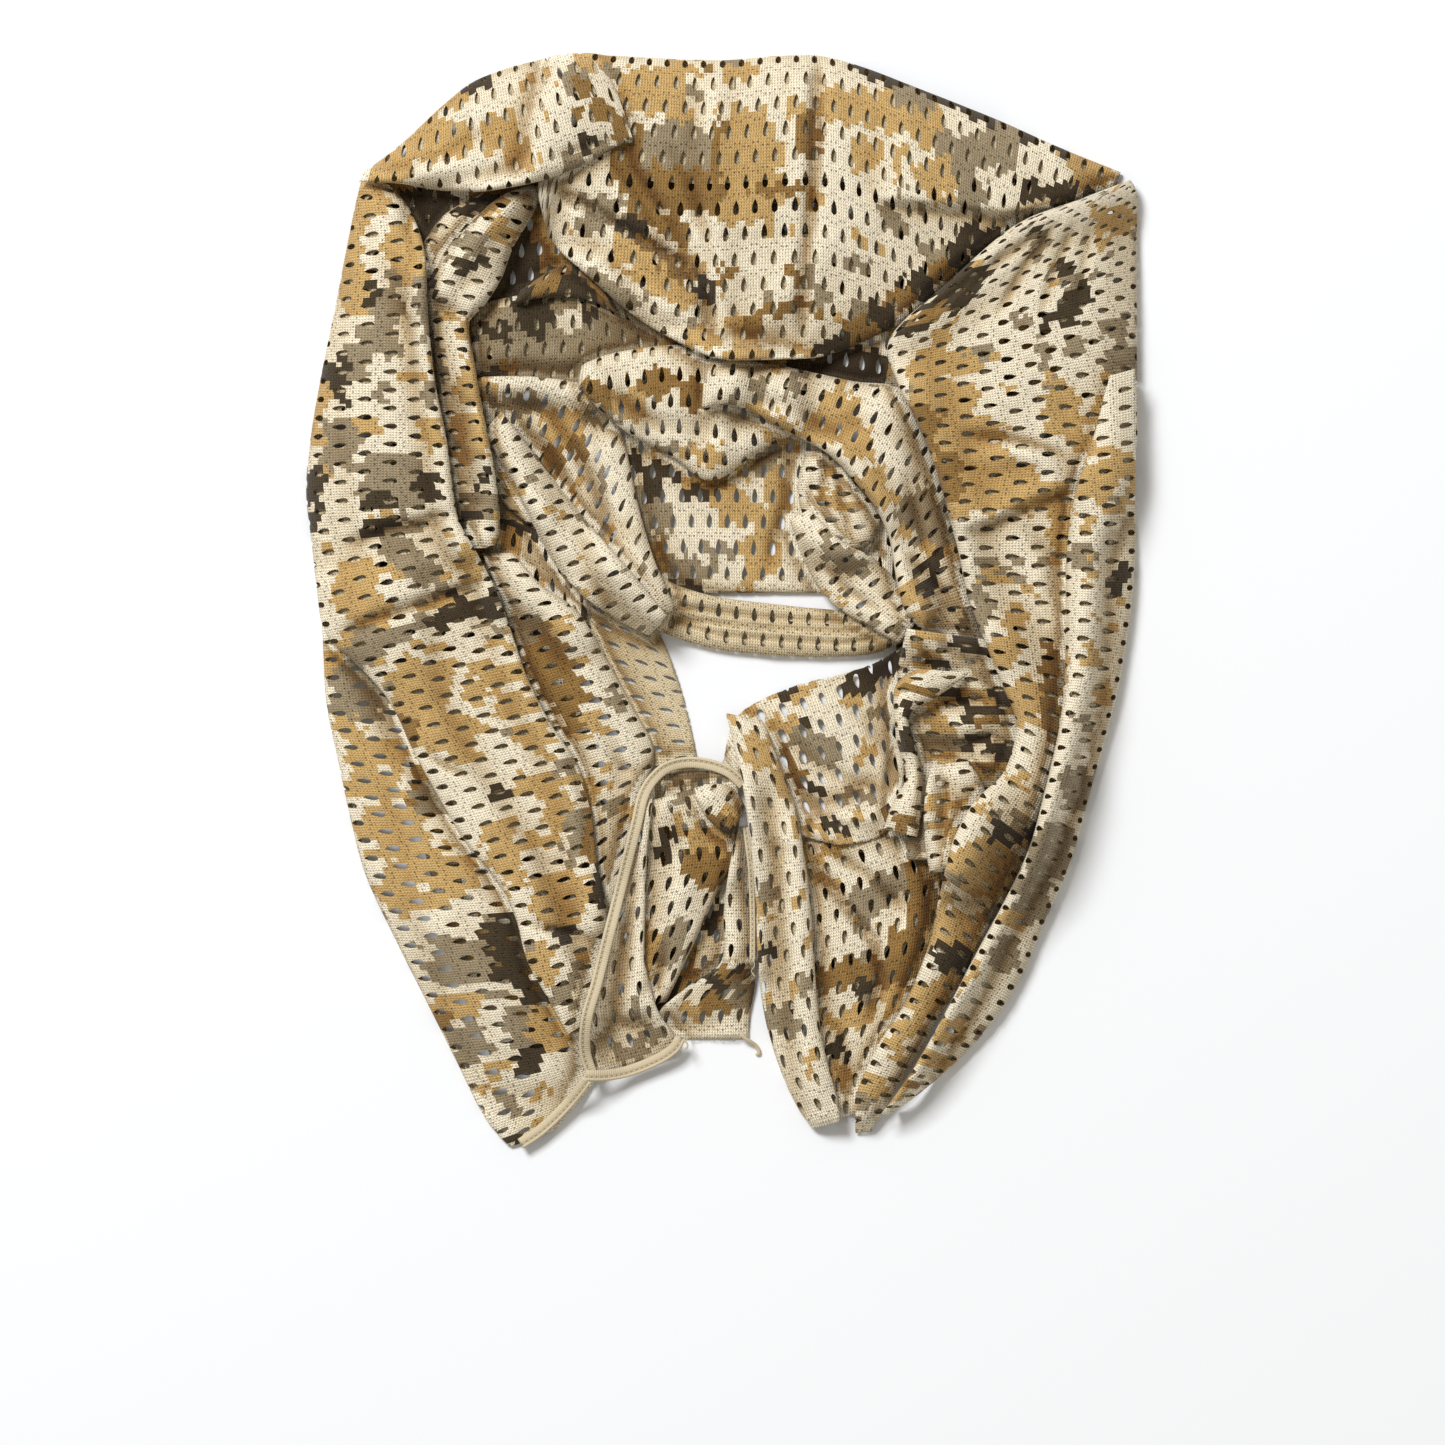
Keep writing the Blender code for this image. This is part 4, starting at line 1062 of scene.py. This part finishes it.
# The inner back of the tail end lies in the fold's shade; its dark mix is painted shade.
fold("tail_end_back", [
    (-36, -87, 6, -84), (-38, -105, 9, -100), (-38, -125, 8, -120), (-38, -148, 8, -144),
    (-40, -180, 6, -176), (-46, -208, -4, -206)],
    high=4.0, edge=1.2, square=4.0, tuck=(2, 2), seed=44, holes="along",
    mix=[(TAUPE, 0.5), (TAN_IN_SHADE, 0.2), (DARK, 0.12)])
fold("tail_end_fold", [
    (-36, -100, -8, -92), (-39, -118, 4, -112), (-39, -134, 8, -128), (-40, -155, -2, -146),
    (-42, -180, -14, -172), (-46, -206, -28, -202)],
    high=[6, 9, 11, 11, 10, 7], edge=2.0, square=2.4, tuck=(5, 5), seed=45, holes="along",
    mix=[(TAUPE, 0.04)],
    creases=[
        ([(-14, -104), (-4, -118), (6, -128)], -2.5, 2.5),
        ([(-28, -165), (-30, -185), (-38, -204)], -4.0, 3.0),
        ([(-22, -118), (-18, -140), (-24, -160)], 3.0, 6.0)],
    paint=[
        (-22, -108, 4, 3, TAN), (-28, -116, 4, 3, DARK), (-29, -125, 5, 4, DARK), (-16, -126, 6, 4, DARK),
        (-8, -120, 11, 8, TAN), (-5, -132, 15, 6, TAN_IN_SHADE), (-10, -140, 8, 4, TAN_IN_SHADE),
        (-24, -170, 7, 12, TAUPE), (-37, -156, 4, 4, TAN), (-36, -172, 4, 8, TAN), (-38, -184, 4, 4, TAN),
        (-42, -201, 4, 7, DARK), (-25, -146, 10, 10, CREAM)])
fold("frayed_end", [
    (9, -112, 14, -111), (4, -132, 16, -132), (1, -156, 17, -156), (0, -180, 17, -180),
    (-16, -192, 17, -192), (-32, -206, 15, -204), (-34, -219, 14, -219)],
    high=[3, 7, 9, 9, 5, 3.5, 2.5], span=1, edge=1.2, square=3.0, tuck=(7, 7), seed=48, holes="along",
    ends=(4, 1), mix=[], shift=(0.0, -6.0),
    steps=[
        ([(18, -181), (6, -180.5), (-8, -180.5)], 5.5, 0.5, 60.0)],
    paint=[
        # Painted shadow over the lower part of the frayed end.
        (2, -189, 13, 6, DARK), (10, -198, 8, 7, TAUPE), (-15, -206, 5, 4, TAN), (-4, -200, 6, 4, TAN_IN_SHADE),
        (6, -186, 5, 4, TAN_IN_SHADE)])
frayed_hem = hem("frayed_end_hem", [
    (13.5, -113), (16, -133), (17, -156), (17, -180)], -1, profile=PIN_LIP)
fold("tail_end_front", [
    (-42, -100, -34, -98), (-48, -128, -37, -126), (-54, -156, -38, -154), (-61, -184, -38, -180),
    (-68, -208, -32, -204), (-68, -226, -24, -216), (-66, -239, -20, -226)],
    high=[5, 8, 10, 10, 8, 5, 2.5], span=1, edge=2.2, square=2.4, tuck=(30, 30), seed=46, holes="along",
    mix=[], ends=(6, 3),
    creases=[
        ([(-60, -206), (-46, -212), (-30, -210)], -2.4, 3.0),
        ([(-44, -204), (-38, -196), (-34, -186)], -3.0, 2.6)],
    paint=[
        (-46, -226, 8, 4, TAUPE), (-44, -203, 4, 6, TAUPE), (-34, -217, 6, 3, TAUPE),
        (-66, -225, 3, 5, TAUPE)])
end_hem = hem("left_end_hem", [
    (13, -90), (5, -83), (-6, -79), (-18, -78), (-29, -81), (-37, -88), (-42, -97), (-45, -110),
    (-50, -130), (-55, -150), (-60, -170), (-65, -190), (-70, -208), (-71, -225), (-67, -239)], 1)
side_hem = hem("end_side_hem", [
    (-68, -240), (-58, -240), (-46, -238), (-31, -232), (-22, -226), (-18, -220)], 1)
tip_hem = hem("tail_side_hem", [
    (-99, -274), (-90, -268), (-80, -259), (-71, -249), (-65, -241)], 1)
fold("tail_inner_curl", [
    (-14, -98, -8, -91), (-6, -110, 5, -93), (5, -118, 13, -104)],
    high=10.0, edge=2.4, square=2.0, tuck=(3, 3), seed=47, mix=[(TAN, 0.1)],
    paint=[
        (0, -112, 6, 5, TAN_IN_SHADE), (4, -118, 5, 4, DARK)])
fold("top_apron", [
    (-92, 203, -90, 232), (-85, 180, -75, 271), (-68, 163, -55, 273), (-45, 143, -35, 272),
    (-20, 128, -15, 271), (0, 120, 5, 271), (25, 120, 28, 273), (50, 122, 50, 273), (72, 130, 72, 267),
    (95, 142, 95, 258), (115, 160, 118, 249), (135, 178, 140, 240), (155, 190, 162, 230),
    (177, 199, 184, 221), (200, 208, 202, 214)],
    high=[9, 16, 19, 21, 22, 23, 23, 23, 22, 20, 18, 15, 12, 9, 5], edge=3.0,
    square=[3, 2.6, 2.4, 2.2, 2.1, 2.1, 2.1, 2.1, 2.1, 2.2, 2.4, 2.6, 3, 3, 3], crown=0.6, tuck=(60, 60),
    anchor=1.0, seed=49,
    creases=[
        ([(-3, 266), (-4, 215), (-2, 175), (0, 128)], 2.5, 5.0),
        ([(-14, 262), (-16, 220), (-10, 180)], -2.0, 5.0),
        ([(48, 273), (48, 240), (46, 205), (42, 170), (40, 130)], -6.5, 3.2),
        ([(40, 268), (40, 230), (38, 196)], 2.0, 4.0),
        ([(-72, 270), (-50, 240), (-42, 215), (-25, 190), (-8, 150), (-3, 128)], -6.0, 4.0),
        ([(-84, 206), (-62, 193), (-42, 182), (-20, 168), (-4, 150)], -7.0, 3.0),
        ([(-62, 178), (-40, 160), (-15, 138), (-8, 128)], 3.5, 6.0),
        ([(-58, 224), (-42, 202), (-28, 176), (-14, 148)], -3.5, 2.6),
        ([(-46, 228), (-28, 200), (-16, 172), (-6, 146)], 2.5, 3.2),
        ([(-30, 236), (-16, 206), (-6, 180), (-2, 156)], -2.0, 3.5),
        ([(10, 128), (30, 150), (60, 190)], 2.0, 8.0)],
    steps=[
        ([(74, 200), (110, 197), (140, 193), (165, 195), (188, 205)], 9.0, 1.6, 50.0),
        ([(-2, 146), (-20, 165), (-40, 179), (-60, 191), (-82, 203)], 6.0, 1.5, 16.0)],
    paint=[
        (-32, 256, 21, 14, TAN), (-40, 270, 18, 3, CREAM), (-62, 271, 9, 3, TAN), (-61, 263, 8, 5, TAUPE),
        (-18, 216, 36, 22, TAN_IN_SHADE), (-22, 227, 16, 9, TAUPE), (16, 214, 15, 24, TAN),
        (-10, 250, 6, 13, CREAM), (-15, 252, 3, 4, TAUPE), (10, 265, 9, 4, TAN), (-6, 267, 5, 4, TAN_IN_SHADE),
        (10, 243, 6, 4, TAN), (25, 244, 5, 3, TAN), (36, 246, 3, 4, TAN), (44, 232, 6, 9, TAN_IN_SHADE),
        (82, 244, 31, 10, TAN, -8), (71, 222, 10, 9, TAN), (100, 232, 8, 7, TAN), (57, 225, 6, 7, CREAM),
        (92, 258, 28, 5, DARK, -20), (131, 244, 22, 5, DARK, -23), (162, 230, 18, 4, DARK, -24),
        (96, 250, 12, 5, TAUPE), (125, 223, 20, 9, TAUPE), (140, 232, 9, 7, TAUPE),
        # The dark patch at (159, 204) is painted shade under the apron's crest, over the right panel's
        # top edge.
        (126, 204, 8, 9, TAUPE), (159, 204, 19, 5, DARK), (158, 221, 9, 8, CREAM),
        (141, 203, 7, 4, CREAM), (108, 210, 8, 9, TAN), (184, 215, 13, 8, TAN), (127, 181, 10, 7, DARK),
        (116, 172, 9, 8, DARK), (105, 163, 9, 7, TAN_IN_SHADE, 35), (97, 156, 8, 7, DARK),
        (88, 149, 8, 6, TAN_IN_SHADE, 35), (80, 141, 8, 7, DARK), (68, 134, 9, 6, TAN_IN_SHADE, 30),
        (58, 129, 8, 4, DARK, 20), (104, 174, 4, 3, TAUPE), (88, 162, 3, 3, TAUPE),
        (66, 169, 6, 4, TAUPE), (43, 163, 3, 3, TAUPE), (22, 145, 10, 4, TAN_IN_SHADE), (36, 155, 3, 10, TAN_IN_SHADE),
        (45, 147, 6, 3, TAN_IN_SHADE), (16, 138, 5, 5, TAN_IN_SHADE), (5, 163, 6, 4, TAN_IN_SHADE),
        (-11, 158, 11, 5, DARK, -35), (-26, 168, 20, 5, TAN_IN_SHADE, -32), (-42, 168, 15, 6, TAN, -32),
        (-28, 156, 20, 6, TAN, -32), (10, 198, 10, 9, TAN), (-35, 190, 14, 4, TAN_IN_SHADE, -38),
        (-22, 186, 10, 4, TAN_IN_SHADE, -40), (-56, 190, 10, 5, TAUPE, -18), (-46, 186, 8, 4, DARK, -25),
        (-54, 154, 16, 4, TAUPE, -40), (-12, 132, 8, 4, TAN, -30), (30, 206, 12, 4, TAN_IN_SHADE),
        (52, 153, 3, 5, TAUPE), (25, 184, 4, 3, TAN), (34, 186, 3, 2, TAN)])
fold("right_outer_panel", [
    (178, 200, 205, 211), (146, 187, 208, 203), (112, 158, 208, 184), (84, 131, 208, 158),
    (88, 108, 208, 130), (97, 90, 208, 100), (106, 68, 207, 74), (112, 48, 194, 50), (118, 25, 184, 25),
    (123, 2, 183, 0), (131, -20, 181, -25), (140, -42, 178, -50), (147, -62, 172, -74),
    (141, -85, 164, -98), (126, -100, 156, -122), (115, -120, 146, -142), (109, -145, 135, -162),
    (104, -170, 124, -184), (92, -200, 110, -207), (78, -222, 96, -231), (67, -248, 84, -250),
    (67, -267, 75, -266)],
    high=[6, 13, 18, 21, 22, 22, 21, 19, 17, 16, 15, 15, 15, 14, 14, 14, 14, 14, 12, 10, 7, 3], edge=3.0,
    square=2.5, crown=0.55, tuck=(50, 40), seed=50, stiff=4.0, span=5, settle=22.0,
    gather=[2.4, 1.8, 1.35, 1.1] + [1.0] * 12,
    creases=[
        ([(170, 192), (152, 168), (136, 140)], -3.0, 2.4),
        ([(178, 192), (166, 165), (158, 138)], -2.2, 2.6),
        ([(162, 186), (140, 170), (118, 150)], -3.0, 2.4),
        ([(186, 192), (180, 165), (176, 140)], -1.8, 3.0),
        ([(150, 180), (126, 162), (100, 140)], -2.5, 2.2),
        ([(118, 82), (140, 82), (160, 76), (176, 70)], -4.5, 3.0),
        ([(124, 70), (148, 74), (170, 68)], 4.0, 5.0), ([(150, 40), (166, 20), (168, -10)], -3.0, 5.0),
        ([(112, 60), (120, 30), (128, 4)], 2.5, 5.0)],
    steps=[
        ([(116, 34), (135, 40), (150, 48), (165, 54), (180, 58)], 9.0, 1.5, 22.0)],
    paint=[
        (119, 157, 15, 8, DARK, 45), (104, 146, 6, 4, DARK), (102, 140, 14, 4, TAN_IN_SHADE, 35),
        (95, 135, 6, 3, DARK), (172, 166, 5, 6, DARK), (180, 160, 6, 3, TAUPE), (176, 150, 6, 5, DARK),
        (168, 141, 8, 5, DARK), (155, 186, 4, 4, DARK), (158, 176, 3, 8, TAUPE), (196, 191, 12, 7, TAN),
        (190, 179, 3, 8, TAN), (151, 138, 4, 3, TAUPE), (178, 125, 5, 4, TAUPE), (195, 136, 8, 7, TAUPE),
        (200, 120, 7, 9, TAUPE), (195, 101, 5, 8, TAUPE), (167, 106, 4, 8, TAN), (171, 94, 9, 12, TAN),
        (184, 78, 17, 8, TAN), (104, 114, 10, 10, TAN), (110, 96, 16, 14, TAN), (120, 78, 20, 15, TAN),
        (132, 58, 24, 14, TAN, 12), (116, 66, 14, 12, TAN), (100, 84, 8, 12, TAN_IN_SHADE),
        (112, 60, 8, 12, TAN_IN_SHADE), (158, 74, 18, 7, CREAM, -15), (160, 50, 12, 7, TAN),
        (168, 38, 5, 18, TAN), (146, 30, 18, 12, CREAM), (148, 15, 3, 6, TAUPE), (130, -6, 5, 12, TAUPE),
        (145, -10, 5, 10, TAN), (142, -24, 9, 7, TAN), (164, -30, 4, 14, TAN_IN_SHADE), (165, -56, 4, 12, TAN_IN_SHADE),
        (150, -50, 10, 10, TAN), (148, -90, 5, 4, TAN), (144, -117, 10, 6, DARK),
        (150, -112, 6, 5, TAUPE), (130, -134, 18, 14, TAN), (116, -140, 5, 5, TAUPE),
        (118, -165, 14, 10, TAN), (114, -178, 9, 7, DARK), (104, -196, 14, 8, TAN, 20),
        (92, -214, 9, 4, TAN, 20), (72, -240, 6, 6, TAN)])
fold("right_edge_roll", [
    (193, 112, 207, 116), (186, 84, 207, 88), (176, 52, 207, 54), (172, 20, 207, 20),
    (172, -10, 204, -12), (171, -40, 199, -42), (168, -65, 193, -66), (161, -95, 184, -98),
    (153, -124, 175, -130), (141, -150, 163, -158), (127, -176, 150, -188), (113, -203, 134, -213),
    (99, -228, 114, -234), (86, -248, 96, -249), (79, -257, 84, -257)],
    high=[1.6, 5, 12, 17, 18, 18, 17, 17, 17, 16, 15, 13, 10, 5.5, 2.6], square=2.1,
    edge=[0.5, 1.4, 2.8, 3.2, 3.2, 3.2, 3.2, 3.2, 3.2, 3.2, 3.2, 3.2, 3.0, 2.2, 1.2], settle=22.0,
    tuck=(16, 12), anchor=1.0, seed=51, ends=(16, 6), rough=1.2,
    paint=[
        (181, 62, 5, 9, TAN), (192, 54, 5, 4, TAUPE), (194, 66, 4, 12, TAN), (205, 60, 3, 12, TAN),
        (197, 45, 5, 3, TAN), (177, 22, 7, 7, TAUPE), (200, 12, 4, 5, DARK), (195, 9, 4, 3, DARK),
        (185, -28, 4, 5, TAN), (180, -58, 5, 5, TAUPE), (180, -95, 11, 10, TAUPE),
        (165, -125, 12, 12, TAUPE), (155, -150, 10, 12, TAUPE), (142, -176, 8, 10, TAUPE),
        (114, -214, 7, 6, TAN), (106, -230, 8, 5, TAN), (93, -240, 7, 4, TAN_IN_SHADE)])
fold("right_tail_strip", [
    (2, -56, 21, -60), (6, -72, 28, -78), (11, -95, 35, -97), (14, -120, 40, -118), (17, -150, 44, -145),
    (18, -180, 46, -172), (21, -205, 48, -200), (27, -228, 51, -222), (36, -250, 57, -245),
    (46, -265, 60, -261)],
    high=[6, 10, 13, 14, 14, 13, 12, 10, 7, 3], edge=2.6, square=2.3, tuck=(14, 14), seed=52,
    holes="along", mix=[(TAN, 0.03)], ends=(6, 9),
    creases=[
        ([(18, -120), (22, -160), (24, -200)], -2.5, 3.0)],
    paint=[
        (19, -76, 7, 7, TAN), (29, -86, 4, 5, TAN), (31, -95, 4, 5, TAN), (38, -112, 3, 5, TAN),
        (25, -147, 7, 6, TAUPE), (20, -156, 3, 3, TAN), (37, -149, 4, 3, TAN), (22, -176, 4, 3, DARK),
        (17, -170, 3, 4, TAN), (29, -209, 10, 8, TAUPE), (40, -196, 5, 6, TAUPE), (45, -230, 4, 5, TAN)])
fold("top_left_lobe", [
    (-181, 209, -179, 214), (-160, 208, -160, 229), (-140, 205, -142, 246), (-120, 204, -126, 259),
    (-100, 207, -110, 266), (-84, 211, -96, 270), (-67, 218, -82, 273), (-56, 224, -69, 273),
    (-48, 228, -58, 264), (-43, 231, -50, 250)],
    high=[6, 12, 17, 19, 18, 15, 11, 7, 4, 2.2], edge=[3.2, 3.2, 3.2, 3.0, 2.6, 2.0, 1.4, 0.9, 0.6, 0.4],
    square=[2.2, 2.2, 2.2, 2.2, 2.1, 2.0, 1.9, 1.8, 1.8, 1.8], crown=0.42, tuck=(30, 30), seed=53,
    ends=(4, 14), mix=[(TAN, 0.02)],
    creases=[
        ([(-84, 221), (-66, 226), (-52, 230)], -2.6, 2.4),
        ([(-174, 212), (-140, 222), (-110, 240)], -2.0, 4.0),
        ([(-172, 210), (-140, 214), (-100, 222)], 2.0, 5.0)],
    paint=[
        (-166, 216, 14, 8, TAN, 30), (-143, 231, 20, 10, TAN), (-146, 244, 16, 4, TAN, 42),
        (-125, 258, 7, 4, DARK, 30), (-131, 250, 4, 4, TAN), (-106, 229, 13, 8, TAN, -20),
        # The taupe, tan-in-shade and dark patches from (-72, 262) on are painted shade where the lobe's
        # right end folds into the apron.
        (-98, 222, 5, 5, TAN), (-110, 240, 4, 4, TAN), (-72, 262, 5, 8, TAUPE), (-69, 252, 5, 7, TAN_IN_SHADE),
        (-60, 244, 6, 5, TAN_IN_SHADE), (-70, 224, 9, 4, TAUPE, 35), (-66, 229, 4, 3, DARK),
        (-58, 222, 8, 5, TAUPE), (-46, 222, 5, 5, TAN_IN_SHADE), (-64, 270, 6, 3, TAN), (-52, 238, 5, 5, TAN_IN_SHADE)])

# ---------------------------------------------------------------- painted shade in the folds
# Colour is darkened as painted shade where the cloth lies under the smoothed pile and in the tucks, and
# it turns warmer as it darkens.
BROAD_SHADE = 0.055       # shade for each millimetre that the cloth lies under the softened pile
CLOSE_SHADE = 0.10        # and under the pile that is softened less
MOST_SHADE = 0.6          # the most that both can be
TUCKED_SHADE = 0.5        # shade of the tucks
TINTS = (1.0, 1.3, 1.8)   # red darkens least and blue most
broad = soften(pile, 5.0)
close_by = soften(pile, 2.2)
for mesh, colours, spots, tucked in tones:
    x, y, z = spots.T
    deep = (BROAD_SHADE * np.maximum(read(broad, x, y) - z, 0)
            + CLOSE_SHADE * np.maximum(read(close_by, x, y) - z, 0))
    shown = np.clip(2.0 - 0.4 * (read(pile, x, y) - z), 0, 1) * (1 - tucked)
    dim = (1 - np.minimum(deep, MOST_SHADE) * shown) * (1 - TUCKED_SHADE * tucked)
    for channel, power in enumerate(TINTS):
        colours[:, channel] *= dim ** power
    mesh.color_attributes["print_and_shade"].data.foreach_set("color", colours.ravel().astype(np.float32))

# ---------------------------------------------------------------- stitches and pulled yarns
stitches = []
for line in seam_lines:
    run = run_of(line)
    for start in np.arange(1.0, run[-1] - 2.2, 2.7):
        at = np.linspace(start, start + 1.9, 4)
        stitches.append((np.column_stack([np.interp(at, run, line[:, c]) for c in range(3)]), 0.3))
hem_stitches = yarn_piece("hem_stitches", stitches, (0.72, 0.62, 0.43))

# Raw edges: short pulled yarns, and the longer ends that hang off the corners.
luck = np.random.RandomState(77)
threads = []
for left, right, foot in ((-19.0, 14.0, -218.5), (0.5, 16.5, -179.5)):
    for x in np.arange(left, right, 0.75):
        y = foot + luck.uniform(0.2, 1.4)
        reach = luck.uniform(1.0, 3.2)
        lean = luck.uniform(-0.9, 0.9)
        top, end = read(pile, np.array([x, x]), np.array([y, y - reach - 1]))
        t = np.linspace(0, 1, 5)
        high = np.minimum(top, 4 + end) * (1 - t ** 2) + (end + 0.5) * t ** 2
        threads.append((np.column_stack([x + lean * t ** 2, y - reach * t, high]),
                        luck.uniform(0.12, 0.22)))
LONG_ENDS = (([(9, -216), (12, -219), (15, -221), (17.5, -223), (19, -226.5), (17, -227)], 1.0),
             ([(-19, -219), (-17, -222), (-18, -224.5)], 0.5),
             ([(15.5, -178), (16.5, -182), (15, -185), (17, -188)], 0.25))
for path, radius in LONG_ENDS:
    line = rail(path, np.linspace(0, len(path) - 1, 16))
    high = read(widen(pile, 1), line[:, 0], line[:, 1]) + radius
    high = np.convolve(np.pad(high, 2, mode="edge"), np.ones(5) / 5, "valid")
    threads.append((np.column_stack([line, high]), radius))
frayed_threads = yarn_piece("frayed_threads", threads, (0.70, 0.60, 0.42))

# ---------------------------------------------------------------- ground, light and camera, in metres
FLOOR = 40.0              # half side of the floor
VIEW_SIDE = 0.7225        # side of what the camera sees of the veil
VIEW_HIGH = 6.0           # the camera's height
VEIL_HIGH = 0.012         # height in the veil at which the view has that side
SENSOR = 36.0             # in millimetres, as the lens is

ground_mesh = bpy.data.meshes.new("ground")
ground_mesh.from_pydata([(-FLOOR, -FLOOR, 0), (FLOOR, -FLOOR, 0), (FLOOR, FLOOR, 0),
                         (-FLOOR, FLOOR, 0)], [], [(0, 1, 2, 3)])
white_ground, _, paper = new_skin("white_ground")
paper.inputs["Base Color"].default_value = (0.90, 0.925, 0.965, 1)
paper.inputs["Roughness"].default_value = 0.9
add_object("ground", ground_mesh, white_ground)

scene = bpy.context.scene
scene.world = bpy.data.worlds.new("studio")
scene.world.use_nodes = True
sky = scene.world.node_tree.nodes["Background"]
sky.inputs["Color"].default_value = (1.0, 0.95, 0.86, 1)
sky.inputs["Strength"].default_value = 0.40

lamp = bpy.data.lights.new("key", "AREA")
lamp.size = 1.7
lamp.energy = 300.0
key = bpy.data.objects.new("key", lamp)
scene.collection.objects.link(key)
key.location = (-2.0, 2.9, 4.4)
key.rotation_euler = (-key.location).to_track_quat("-Z", "Y").to_euler()

lens = bpy.data.cameras.new("camera")
lens.sensor_width = SENSOR
lens.lens = SENSOR * (VIEW_HIGH - VEIL_HIGH) / VIEW_SIDE
lens.clip_end = 20.0
camera = bpy.data.objects.new("camera", lens)
scene.collection.objects.link(camera)
camera.location = (0.0005, -0.0608, VIEW_HIGH)
scene.camera = camera
scene.view_settings.view_transform = "Standard"
scene.view_settings.look = "None"
scene.view_settings.exposure = 0.0
